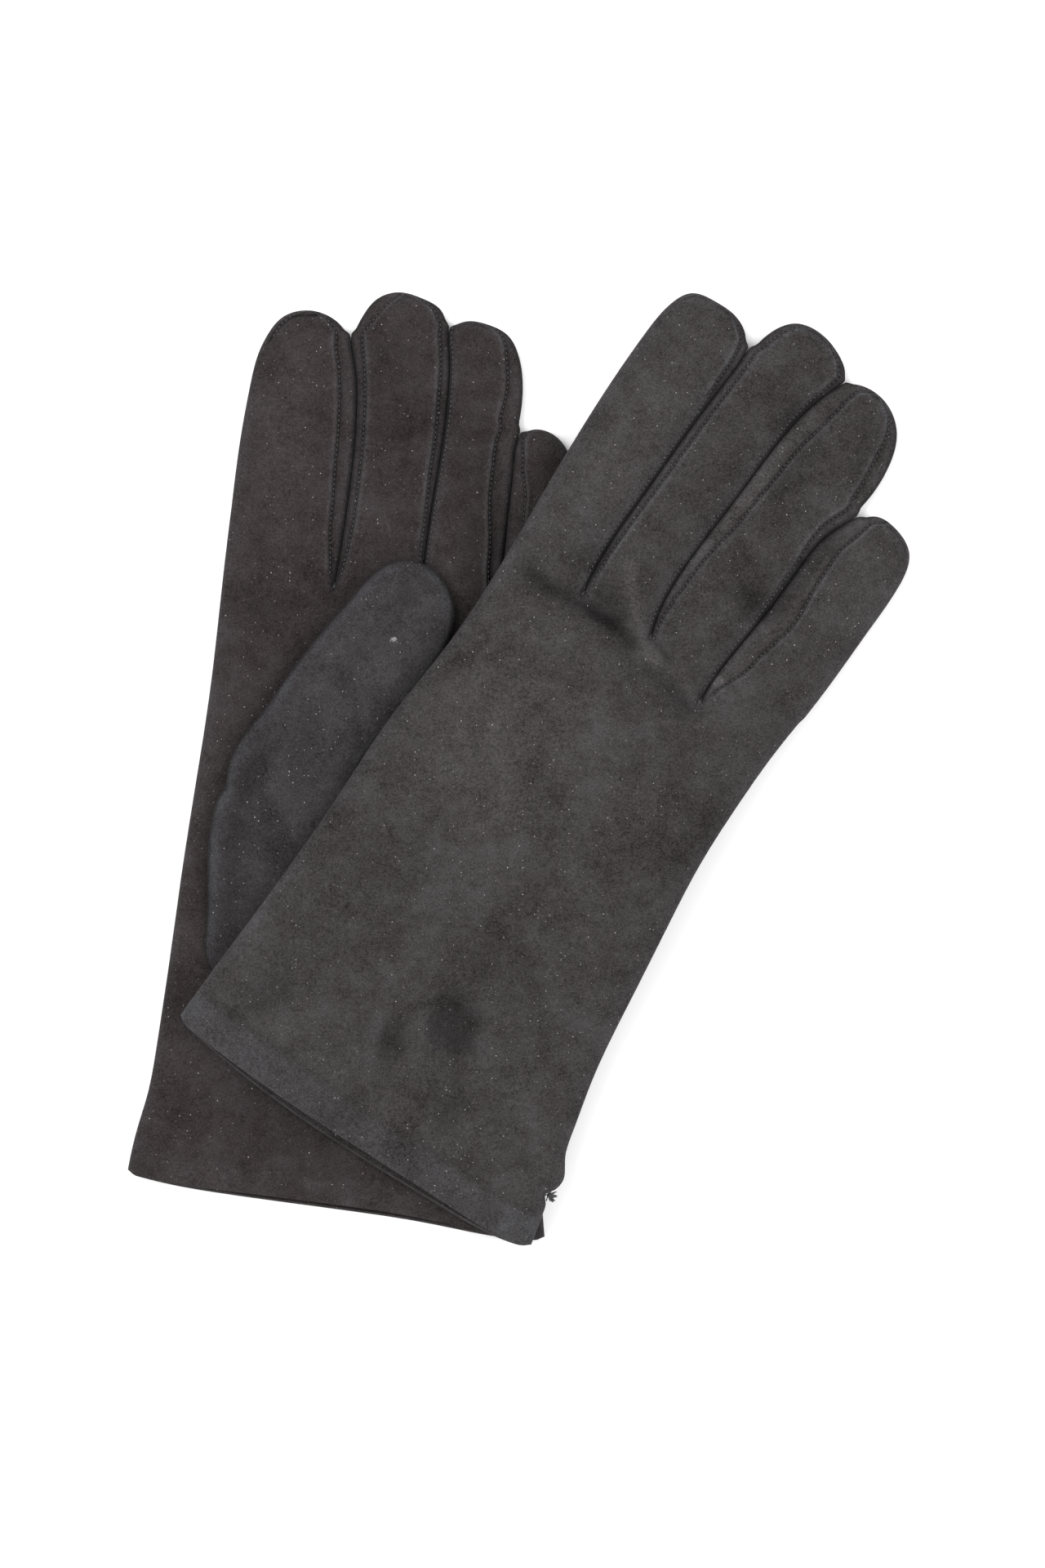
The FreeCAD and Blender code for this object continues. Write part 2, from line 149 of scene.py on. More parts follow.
# How far each finger's two upper seams run in from its outline, at even steps from the crotch to the tip.
# None means that the leather is folded there and has no seam.
SEAMS = {
    "left_index": (None, (1.6, 3.9, 4.7, 4.8, 4.6, 2.8, 0.9)),
    "left_middle": ((1.4, 2.4, 2.3, 2.4, 3.2, 5.0, 1.2), (0.9, 1.4, 2.2, 2.5, 2.4, 2.0, 0.9)),
    "left_ring": ((0.9, 0.9, 1.0, 1.0, 1.0, 0.9, 0.9), (1.0, 4.2, 5.8, 5.4, 4.1, 1.9, 0.9)),
    "left_little": ((1.0, 3.0, 4.6, 4.3, 2.6, 1.5, 1.0), None),
    "right_index": (None, (0.9, 0.9, 0.9, 1.0, 2.0, 3.2, 1.4)),
    "right_middle": ((1.2, 1.9, 2.3, 2.4, 2.3, 2.3, 1.1), (0.9, 0.9, 1.0, 1.0, 1.3, 2.8, 1.3)),
    "right_ring": ((1.4, 3.2, 4.8, 5.6, 6.2, 4.4, 1.2), (0.9, 1.0, 1.4, 3.2, 4.6, 3.0, 1.1)),
    "right_little": ((1.5, 6.3, 8.0, 6.6, 5.6, 3.9, 1.2), None),
}
# The left index finger's fold opens into a seam near its tip: where it starts, as a part of the side's
# length, and how far in from the outline it runs
OUTER_TIP_SEAM = {"left_index": (0.8, 1.6)}

# Soft folds in the leather: a line of points, how deep (negative for a ridge) and how wide
CREASES = {
    "left": [
        ([(-45, 115), (-36, 116), (-26, 114)], 0.22, 1.2),
        ([(-43, 92), (-34, 91), (-26, 93)], 0.26, 1.3),
        ([(-41, 89), (-33, 88.5), (-27, 89)], -0.16, 1.4),
        ([(-77, 86), (-68, 84), (-60, 86)], 0.14, 1.6),
        ([(-18, 98), (-11, 97), (-5, 99)], 0.14, 1.2),
        ([(-80, 48), (-68, 44), (-57, 46)], 0.25, 3.5),
        ([(-97, -66), (-80, -70), (-60, -74)], 0.3, 5.0),
        ([(-84, -55), (-86, -38), (-84, -14), (-79, 0), (-66, 22), (-52, 43), (-40, 57)], 0.35, 3.2),
    ],
    "right": [
        ([(3, 53), (8, 49), (17, 44), (25, 39), (31, 34)], 1.1, 2.3),
        ([(10, 55), (15, 50), (20, 47.5)], -0.35, 1.8),
        ([(20, 49), (26, 46), (30, 42)], 0.45, 2.4),
        ([(30, 55), (30.5, 48), (32.5, 41), (34, 35), (37, 29)], -1.0, 1.7),
        ([(36.2, 35), (38.5, 32), (41.5, 29.5)], 0.7, 1.0),
        ([(35, 27), (40, 21), (45, 15)], 0.45, 2.2),
        ([(42, 21), (45, 18), (48, 15.5)], 0.55, 2.0),
        ([(46, 24), (47.5, 20), (48, 17)], -0.35, 1.4),
        ([(62, 48), (67, 43), (71, 41)], 0.25, 2.6),
        ([(60, 82), (67, 77), (73, 71)], 0.15, 2.0),
        ([(34, 86), (28, 91), (20, 95)], 0.15, 2.2),
        ([(93, 82), (96, 88), (96, 94)], 0.35, 2.4),
    ],
    "left_thumb": [
        ([(-30, 47), (-42, 33), (-53, 18), (-62, 4)], 0.45, 3.0),
        ([(-70, 6), (-77, -10), (-79.5, -28), (-79.5, -46)], 0.45, 3.2),
        ([(-62, 8), (-69, -12), (-72, -34)], -0.2, 3.5),
        ([(-52, 28), (-47, 23), (-42, 19)], 0.2, 2.2),
    ],
    "right_thumb": [],
}
# Where the nap is brushed darker or lighter, and painted shade in a few deep crevices: a place, two radii, a
# turn in degrees and how much
NAP_AND_SHADE = {
    "left": [(-34, 100, 9, 22, -4, -0.12), (-12, 75, 8, 26, -6, -0.18), (-70, 20, 16, 30, -5, -0.1),
             (-92, -35, 5, 40, -6, 0.12), (-60, -95, 30, 16, 0, -0.16), (-62, 100, 7, 18, 0, 0.12),
             (-65, 80, 7, 20, -5, 0.1)],
    "right": [(-35, -74, 4.2, 7, 10, -0.4), (-17.5, -71, 7.5, 9.5, 0, -0.56), (-20, -92, 6, 8, 20, -0.28),
              (-5, 5, 24, 34, 28, 0.22), (32, 92, 9, 26, 33, 0.12), (-68, -62, 9, 5, -30, -0.2),
              (-66, -72, 6, 4, -30, 0.08), (32, -14, 11, 12, 28, 0.2), (24, 42, 7, 5, 20, -0.26),
              (7, -8, 5, 12, 0, -0.16), (-24, -22, 7, 12, 20, -0.15), (48, -18, 5, 20, 28, -0.06),
              (66, 44, 7, 5, 30, -0.24), (20, 60, 6, 8, 30, -0.14), (74, 84, 6, 12, 38, -0.2),
              # (79, 54, ...) is painted shade in the deep gap beside the right ring finger's little-side fork
              (-30, -95, 20, 5, -32, 0.12), (79, 54, 2.8, 17, 38, -0.4), (76, 97, 3, 9, 48, -0.25),
              (63.5, 76, 2.7, 27, 38, 0.42), (54.5, 23.5, 1.9, 1.5, 0, 0.7)],
    "left_thumb": [(-45, 30, 12, 22, 37, 0.2), (-25, 49, 7, 7, 0, 0.08), (-73, -25, 8, 22, 0, -0.16)],
    "right_thumb": [],
}


# ---- reading the frame

def node_surface(name):
    """A CAD node's corners in millimetres, each place once, its triangles and their normals."""
    mesh = frame["nodes"][name].data
    mesh.calc_loop_triangles()
    corners = np.array([v.co for v in mesh.vertices]) / MM
    triangles = np.array([t.vertices for t in mesh.loop_triangles])
    _, first, same = np.unique(np.round(corners, 3), axis=0, return_index=True, return_inverse=True)
    corners, triangles = corners[first], same.reshape(-1)[triangles]
    a, b, c = (corners[triangles[:, k]] for k in range(3))
    normals = np.cross(b - a, c - a)
    size = np.linalg.norm(normals, axis=1)
    keep = size > 1e-9
    return corners, triangles[keep], normals[keep] / size[keep, None]


def outline_loop(name):
    """A flat panel's plan outline, anticlockwise from above: where its top meets its side faces."""
    corners, triangles, normals = node_surface(name)
    kinds = {}
    for triangle, normal in zip(triangles, normals):
        kind = "top" if normal[2] > 0.5 else "side" if abs(normal[2]) < 0.3 else "under"
        for k in range(3):
            edge = tuple(sorted((triangle[k], triangle[(k + 1) % 3])))
            kinds.setdefault(edge, set()).add(kind)
    beside = {}
    for (a, b), found in kinds.items():
        if found == {"top", "side"}:
            beside.setdefault(a, []).append(b)
            beside.setdefault(b, []).append(a)
    loops = []
    unseen = set(beside)
    while unseen:
        loop = [unseen.pop()]
        while True:
            ahead = [v for v in beside[loop[-1]] if v in unseen]
            if not ahead:
                break
            loop.append(ahead[0])
            unseen.discard(ahead[0])
        loops.append(loop)
    points = corners[max(loops, key=len), :2]
    x, y = points[:, 0], points[:, 1]
    turned = np.sum(x * np.roll(y, -1) - np.roll(x, -1) * y) < 0
    return points[::-1] if turned else points


def knuckle_line(side):
    """A point on the knuckle line, its direction to the little finger and its normal to the tips."""
    fold = joints[f"{side}_middle_fold"]
    point = np.array(fold["pos_m"][:2]) / MM
    along = np.array(fold["axis"][:2])
    along /= np.linalg.norm(along)
    return point, along, np.array([-along[1], along[0]])


def open_runs(loop, is_cut):
    """A closed loop broken at every edge whose two ends are both marked as cut."""
    count = len(loop)
    breaks = [k for k in range(count) if is_cut[k] and is_cut[(k + 1) % count]]
    runs = []
    for k, start in enumerate(breaks):
        stop = breaks[(k + 1) % len(breaks)]
        length = (stop - start) % count or count
        runs.append(loop[[(start + 1 + i) % count for i in range(length)]])
    return [run for run in runs if len(run) > 1]


def arc_lengths(points):
    return np.concatenate([[0], np.cumsum(np.linalg.norm(np.diff(points, axis=0), axis=1))])


def points_at(line, places):
    """Points at those distances along a line."""
    lengths = arc_lengths(line)
    return np.stack([np.interp(places, lengths, line[:, k]) for k in range(line.shape[1])], axis=1)


def resampled(line, fractions):
    """Points at those fractions of a line's length."""
    return points_at(line, np.asarray(fractions) * arc_lengths(line)[-1])


def smoothed(points, reach=1.5, spacing=0.4):
    """A line resampled evenly and smoothed over that reach, with its ends kept."""
    count = max(8, int(arc_lengths(points)[-1] / spacing))
    even = resampled(points, np.linspace(0, 1, count + 1))
    width = max(1, int(reach / spacing))
    kernel = np.hanning(2 * width + 3)[1:-1]
    kernel /= kernel.sum()
    padded = np.concatenate([2 * even[:1] - even[width:0:-1], even, 2 * even[-1:] - even[-2:-width - 2:-1]])
    result = np.stack([np.convolve(padded[:, k], kernel, "valid") for k in range(2)], axis=1)
    result[0], result[-1] = even[0], even[-1]
    return result


def cut_from_level(points, origin, normal):
    """A rising line's part above the level of the origin along the normal, and its part below."""
    height = (points - origin) @ normal
    first = int(np.argmax(height > 0))
    t = -height[first - 1] / (height[first] - height[first - 1])
    crossing = points[first - 1] + t * (points[first] - points[first - 1])
    return np.vstack([crossing, points[first:]]), np.vstack([points[:first], crossing])


def nearest_step(points, lines):
    """The plan vector from each point to the nearest place on some lines, worked out in batches."""
    starts = np.concatenate([line[:-1] for line in lines])
    steps = np.concatenate([np.diff(line, axis=0) for line in lines])
    squared = np.maximum(np.sum(steps * steps, axis=1), 1e-9)
    found = []
    for k in range(0, len(points), BATCH):
        part = points[k:k + BATCH, None, :] - starts[None]
        t = np.clip(np.sum(part * steps[None], axis=2) / squared, 0, 1)
        away = t[..., None] * steps[None] - part
        best = np.argmin(np.sum(away * away, axis=2), axis=1)
        found.append(away[np.arange(len(best)), best])
    return np.concatenate(found)


def distance_to(points, lines):
    return np.linalg.norm(nearest_step(points, lines), axis=1)


def meeting(line, other):
    """A finger's side moved to half-way to its neighbour's side, where the two lie together."""
    over = nearest_step(line, [other])
    weight = 1 - step(np.linalg.norm(over, axis=1), *TOUCH_REACH)
    return line + 0.5 * weight[:, None] * over


def notched(line, place, depth, inwards, width):
    """A line pushed in round one place, given as a distance along it."""
    amount = depth * np.exp(-((arc_lengths(line) - place) / width) ** 2)
    return line + amount[:, None] * inwards


def read_glove(side):
    """The plan lines of a glove, from its CAD panels."""
    point, along, normal = knuckle_line(side)
    hand = outline_loop(f"{side}_hand_palm")
    runs = open_runs(hand, np.abs((hand - point) @ normal + KNUCKLE_GAP) < ON_LINE)
    outer = max(runs, key=lambda run: arc_lengths(run)[-1])
    slits = [run for run in runs if run is not outer]
    slits.sort(key=lambda run: (run.mean(axis=0) - point) @ along)
    steps = np.diff(outer, axis=0)
    steps /= np.linalg.norm(steps, axis=1)[:, None]
    turn = np.arccos(np.clip(np.sum(steps[1:] * steps[:-1], axis=1), -1, 1))
    first, second = sorted(np.argsort(turn)[-2:] + 1)
    index_side, cuff, little_side = outer[:first + 1][::-1], outer[first:second + 1], outer[second:]

    crotches, slit_sides = [], []
    for slit in slits:
        height = (slit - point) @ normal
        low = np.where(height < height.min() + SLIT_FLOOR)[0]
        crotch = (slit[low[0]] + slit[low[-1]]) / 2
        crotches.append(crotch)
        right_edge, left_edge = slit[:low[0] + 1][::-1], slit[low[-1]:]
        slit_sides.append((np.vstack([crotch, left_edge]), np.vstack([crotch, right_edge])))

    upper_index, lower_index = cut_from_level(index_side, crotches[0], normal)
    upper_little, lower_little = cut_from_level(little_side, crotches[2], normal)
    starts = [upper_index] + [edges[1] for edges in slit_sides]
    ends = [edges[0] for edges in slit_sides] + [upper_little]
    fingers = []
    for i, finger in enumerate(FINGERS):
        loop = outline_loop(f"{side}_{finger}_palm")
        run = max(open_runs(loop, (loop - point) @ normal < KNUCKLE_GAP + ON_LINE), key=len)
        tip = int(np.argmax((run - point) @ normal))
        left = smoothed(np.vstack([starts[i], run[tip:][::-1]]))
        right = smoothed(np.vstack([ends[i], run[:tip + 1]]))
        fingers.append([left, right])
    for near, far in zip(fingers[:3], fingers[1:]):
        near[1], far[0] = meeting(near[1], far[0]), meeting(far[0], near[1])
    little_line = smoothed(lower_little)
    if side == "right":
        for further, depth, width in VENT_DENTS:
            little_line = notched(little_line, VENT_FROM_CUFF + further, depth, -along, width)
    gaps = [pair[0] for pair in fingers[1:]] + [pair[1] for pair in fingers[:3]]
    return {"along": along, "normal": normal, "crotches": crotches, "fingers": fingers,
            "index_side": smoothed(lower_index), "little_side": little_line, "cuff": smoothed(cuff, 3),
            "gaps": [line[:int(GAP_END * len(line))] for line in gaps]}


# ---- height of the leather

def lattice_noise(points, size, seed):
    """Smooth noise from -1 to 1 whose bumps are about that size, in millimetres."""
    grid = np.random.default_rng(seed).uniform(-1, 1, (128, 128))
    gx, gy = points[:, 0] / size + 40.0, points[:, 1] / size + 40.0
    ix, iy = np.floor(gx).astype(int), np.floor(gy).astype(int)
    fx, fy = gx - ix, gy - iy
    fx, fy = fx * fx * (3 - 2 * fx), fy * fy * (3 - 2 * fy)
    low = grid[ix % 128, iy % 128] * (1 - fx) + grid[(ix + 1) % 128, iy % 128] * fx
    high = grid[ix % 128, (iy + 1) % 128] * (1 - fx) + grid[(ix + 1) % 128, (iy + 1) % 128] * fx
    return low * (1 - fy) + high * fy


def waves(points, bumps, seed):
    """Bumps of several sizes, each (size, height) pair from a seed of its own."""
    return sum(height * lattice_noise(points, size, seed + k) for k, (size, height) in enumerate(bumps))


def drape(nodes, spacing=11.0, stiffness=0.02, unit=100.0):
    """A smooth surface through the undersides of CAD nodes: a thin plate spline through points on them."""
    cells = {}
    for name in nodes:
        corners, triangles, normals = node_surface(name)
        for place in corners[np.unique(triangles[normals[:, 2] < -0.5])]:
            cells.setdefault((round(place[0] / spacing), round(place[1] / spacing)), place)
    known = np.array(list(cells.values()))

    def kernel(points):
        gap = np.linalg.norm(points[:, None] - known[None, :, :2], axis=2) / unit
        return gap * gap * np.log(np.maximum(gap, 1e-9))

    def plane(points):
        return np.column_stack([np.ones(len(points)), points / unit])

    count, flat = len(known), plane(known[:, :2])
    matrix = np.zeros((count + 3, count + 3))
    matrix[:count, :count] = kernel(known[:, :2]) + stiffness * np.eye(count)
    matrix[:count, count:] = flat
    matrix[count:, :count] = flat.T
    weights = np.linalg.solve(matrix, np.concatenate([known[:, 2], np.zeros(3)]))
    return lambda points: kernel(points) @ weights[:-3] + plane(points) @ weights[-3:]


def tabletop(points):
    return np.zeros(len(points))


def quarter(t):
    """The rise of a quarter circle, from 0 at its edge to 1 at its top."""
    return np.sqrt(np.clip(1 - (1 - np.clip(t, 0, 1)) ** 2, 0, 1))


def step(value, low, high):
    t = np.clip((value - low) / (high - low), 0, 1)
    return t * t * (3 - 2 * t)


def bell(value, width):
    return np.exp(-(value / width) ** 2)


def crease_depth(name, points):
    total = np.zeros(len(points))
    for line, depth, width in CREASES[name]:
        total += depth * bell(distance_to(points, [smoothed(np.array(line, float))]), width)
    return total


def nap_and_shade_tone(name, points):
    """How much darker or lighter the nap is brushed, with painted shade in a few deep crevices."""
    total = np.zeros(len(points))
    for x, y, across, along, turn, amount in NAP_AND_SHADE[name]:
        turn = math.radians(turn)
        dx, dy = points[:, 0] - x, points[:, 1] - y
        u = (dx * math.cos(turn) - dy * math.sin(turn)) / across
        v = (dx * math.sin(turn) + dy * math.cos(turn)) / along
        ragged = 0.22 * lattice_noise(points, 3.5, 5)
        total += amount * (1 - step(np.hypot(u, v) + ragged, 0.45, 1.35))
    return total


class Glove:
    """Where one glove's leather is: its plan lines, and the heights of its two layers."""

    def __init__(self, side, base):
        self.lines = read_glove(side)
        self.side = side
        self.base = base
        self.seed = 3 if side == "left" else 17
        self.edges = [line for pair in self.lines["fingers"] for line in pair]
        self.edges += [self.lines["index_side"], self.lines["little_side"]]

    def layers(self, plan):
        """Over a grid of plan points: the leather's upper and lower height, the distance to the outline, and
        the marks on the upper side, which are how much lighter and how much cooler its nap is, with painted
        shade in its creases, gaps and hem line and a painted highlight with a cool painted sheen along its
        rim."""
        points = plan.reshape(-1, 2)
        away = distance_to(points, self.edges)
        from_cuff = distance_to(points, [self.lines["cuff"]])
        rounding = quarter(away / EDGE_WIDE)
        middle = self.base(points) + EDGE_RISE
        swell = 1 - np.exp(-np.maximum(away - SWELL_FROM, 0) / SWELL_REACH)
        inner = step(away, 0, EDGE_FADE)
        past_hem = from_cuff - HEM_DEPTH - waves(points, [HEM_WANDER], self.seed + 4)
        in_hem = 1 - step(past_hem, *HEM_STEP)
        hem_line = bell(past_hem - HEM_STEP[1], HEM_LINE_WIDE)
        press = 1 - CUFF_PRESS * (1 - step(from_cuff, 0, PRESS_REACH))
        creases = crease_depth(self.side, points)
        uneven = waves(points, WAVES, self.seed)
        upper = middle + EDGE_RISE * rounding + swell * (SWELL * press + uneven - creases)
        upper += inner * (HEM_RISE * in_hem - HEM_LINE * hem_line)
        lower = middle - EDGE_RISE * rounding * UNDER_RISE
        hem_nap_and_shade = HEM_NAP_AND_SHADE[self.side]
        worn = step(lattice_noise(points, 14, self.seed + 5), -0.9, 0.7)
        # painted shade by creases and in the gaps between fingers, and a painted highlight with a cool
        # painted sheen along the rounded rim, on top of the brushed nap
        tone = nap_and_shade_tone(self.side, points) - CREASE_SHADE * creases
        # the hem is lighter in worn patches, and the line where it ends gets painted shade
        tone += hem_nap_and_shade * (in_hem * worn - hem_line) * inner
        tone -= GAP_SHADE * bell(distance_to(points, self.lines["gaps"]), GAP_WIDE)
        tone += RIM_PAINTED_HIGHLIGHT * bell(away - RIM_IN, 1.1)
        cool = 3 * hem_nap_and_shade * in_hem + RIM_PAINTED_SHEEN * bell(away - RIM_IN, 1.5)
        marks = np.column_stack([tone, cool])
        return [part.reshape(plan.shape[:2] + part.shape[1:]) for part in (upper, lower, away, marks)]


# ---- meshes

def make_piece(name, vertices, faces, marks=None):
    """A mesh object from millimetres, with doubled corners merged, sharp rims and its marks of nap tone,
    painted shade and painted highlights.
    """
    mesh = bpy.data.meshes.new(name)
    mesh.from_pydata([tuple(v) for v in np.asarray(vertices) * MM], [], faces)
    if marks is not None:
        for k, mark in enumerate(("tone", "cool")):
            layer = mesh.attributes.new(mark, "FLOAT", "POINT")
            layer.data.foreach_set("value", np.ascontiguousarray(marks[:, k], np.float32))
    work = bmesh.new()
    work.from_mesh(mesh)
    bmesh.ops.remove_doubles(work, verts=work.verts, dist=2e-6)
    bmesh.ops.dissolve_degenerate(work, edges=work.edges, dist=1e-7)
    bmesh.ops.recalc_face_normals(work, faces=work.faces)
    work.to_mesh(mesh)
    work.free()
    mesh.shade_smooth()
    mesh.set_sharp_from_angle(angle=math.radians(50))
    piece = bpy.data.objects.new(name, mesh)
    bpy.context.scene.collection.objects.link(piece)
    return piece


def grid_normals(ring):
    """Unit normals of a ring of rows and columns, outwards where the columns run over the top first."""
    down = np.gradient(ring, axis=0)
    across = (np.roll(ring, -1, axis=1) - np.roll(ring, 1, axis=1)) / 2
    normals = np.cross(across, down)
    size = np.linalg.norm(normals, axis=2, keepdims=True)
    return normals / np.maximum(size, 1e-9)


def wrapped(upper, lower, marks):
    """A ring that runs over the upper grid and back under the lower one, its normals, and its marks, which
    are none underneath."""
    ring = np.concatenate([upper, lower[:, -2:0:-1]], axis=1)
    bare = np.zeros((len(ring), ring.shape[1] - marks.shape[1], 2))
    return ring, grid_normals(ring), np.concatenate([marks, bare], axis=1)


def shell(outer, inner, wraps=False):
    """The corners and faces of a thin solid between two grids."""
    rows, columns = outer.shape[:2]
    corners = np.concatenate([outer.reshape(-1, 3), inner.reshape(-1, 3)])
    shift = rows * columns
    faces = []
    last = columns if wraps else columns - 1
    for r in range(rows - 1):
        for c in range(last):
            d = (c + 1) % columns
            a, b, e, f = r * columns + c, r * columns + d, (r + 1) * columns + d, (r + 1) * columns + c
            faces.append((a, b, e, f))
            faces.append((a + shift, f + shift, e + shift, b + shift))
    for c in range(last):
        d = (c + 1) % columns
        faces.append((c, c + shift, d + shift, d))
        a, b = (rows - 1) * columns + c, (rows - 1) * columns + d
        faces.append((a, b, b + shift, a + shift))
    if not wraps:
        for r in range(rows - 1):
            a, b = r * columns, (r + 1) * columns
            faces.append((a, b, b + shift, a + shift))
            a, b = a + columns - 1, b + columns - 1
            faces.append((a, a + shift, b + shift, b))
    return corners, faces


def leather_piece(name, outer, inner, marks, wraps=False):
    """Leather between two grids, both sides of which carry the same marks."""
    corners, faces = shell(outer, inner, wraps)
    flat = marks.reshape(-1, 2)
    return make_piece(name, corners, faces, np.concatenate([flat, flat]))


def lining_piece(name, ring, normals, depth):
    corners, faces = shell(ring - normals * depth, ring - normals * (depth + LINING_THICK), wraps=True)
    return make_piece(name, corners, faces)


CAPSULE = ((-0.5, 0.0), (-0.42, 0.75), (-0.2, 1.0), (0.2, 1.0), (0.42, 0.75), (0.5, 0.0))
CAPSULE_SIDES = 6
CAPSULE_FLAT = 0.8


def capsules(name, centres, directions, ups, lengths, width):
    """Many small rounded lengths of thread in one piece, each a ring of corners at every place of CAPSULE."""
    vertices, faces = [], []
    for centre, direction, up, length in zip(centres, directions, ups, lengths):
        across = np.cross(direction, up)
        start = len(vertices)
        for place, radius in CAPSULE:
            for k in range(CAPSULE_SIDES):
                turn = 2 * math.pi * k / CAPSULE_SIDES
                offset = across * math.cos(turn) + up * math.sin(turn) * CAPSULE_FLAT
                vertices.append(centre + direction * place * length + offset * radius * width / 2)
        for a in range(start, len(vertices) - CAPSULE_SIDES, CAPSULE_SIDES):
            for k in range(CAPSULE_SIDES):
                b, c = a + k, a + (k + 1) % CAPSULE_SIDES
                faces.append((b, c, c + CAPSULE_SIDES, b + CAPSULE_SIDES))
    return make_piece(name, vertices, faces)


def stitch_row(name, line, normals, first, last):
    """Stitches along a line that lies on the leather, between two distances along it."""
    places = np.arange(first, last, STITCH_PITCH)
    lengths = arc_lengths(line)
    centres = points_at(line, places)
    ahead = points_at(line, places + 0.3) - centres
    ahead /= np.linalg.norm(ahead, axis=1)[:, None]
    up = np.stack([np.interp(places, lengths, normals[:, k]) for k in range(3)], axis=1)
    up /= np.linalg.norm(up, axis=1)[:, None]
    centres = centres + up * STITCH_STANDS
    return capsules(name, centres, ahead, up, [STITCH_LENGTH] * len(places), STITCH_WIDTH)


# ---- fingers

def spaced(count, crowding=0.6):
    """Fractions from 0 to 1 that crowd towards both ends."""
    k = np.linspace(0, 1, count + 1)
    return (1 - crowding) * k + crowding * 0.5 * (1 - np.cos(math.pi * k))


def seam_offsets(values):
    """A seam's distance from the outline at each row."""
    values = np.array([UNDER_SEAM * 0.8] * 2 if values is None else values)
    k = np.linspace(0, len(values) - 1, FINGER_ROWS)
    low = np.minimum(k.astype(int), len(values) - 2)
    t = step(k - low, 0, 1)
    return values[low] * (1 - t) + values[low + 1] * t


def finger_columns(width, left, right):
    """Fractions across one row: the left fork, the panel and the right fork."""
    left, right = min(left, width * 0.42), min(right, width * 0.42)
    fork = spaced(FORK_COLUMNS, FORK_CROWDING)
    parts = [fork * left, left + spaced(PANEL_COLUMNS)[1:] * (width - left - right),
             width - (fork * right)[::-1][1:]]
    return np.concatenate(parts) / max(width, 1e-9)


def finger_rows():
    """Fractions from the crotch to the tip, closer together at the tip."""
    return 1 - (1 - np.linspace(0, 1, FINGER_ROWS)) ** 1.35


def finger_plan(left, right, seam_left, seam_right):
    """Plan points of one layer of a finger: rows from the crotch to the tip, columns from left to right."""
    a, b = resampled(left, finger_rows()), resampled(right, finger_rows())
    plan = np.empty((FINGER_ROWS, FORK_COLUMNS + PANEL_END + 1, 2))
    for r in range(FINGER_ROWS):
        u = finger_columns(np.linalg.norm(b[r] - a[r]), seam_left[r], seam_right[r])[:, None]
        plan[r] = a[r] * (1 - u) + b[r] * u
    return plan


def beside_seams(seams, plan):
    """For each of a finger's two seams that it has: which it is, the columns of the fork beside it, the
    same as a slice, and the distance of every place from it."""
    columns = np.arange(plan.shape[1])
    sides = ((FORK_COLUMNS, columns < FORK_COLUMNS, slice(0, FORK_COLUMNS + 1)),
             (PANEL_END, columns > PANEL_END, slice(PANEL_END, None)))
    for k, (column, forks, span) in enumerate(sides):
        if seams[k]:
            yield k, forks, span, np.linalg.norm(plan - plan[:, column:column + 1], axis=2)


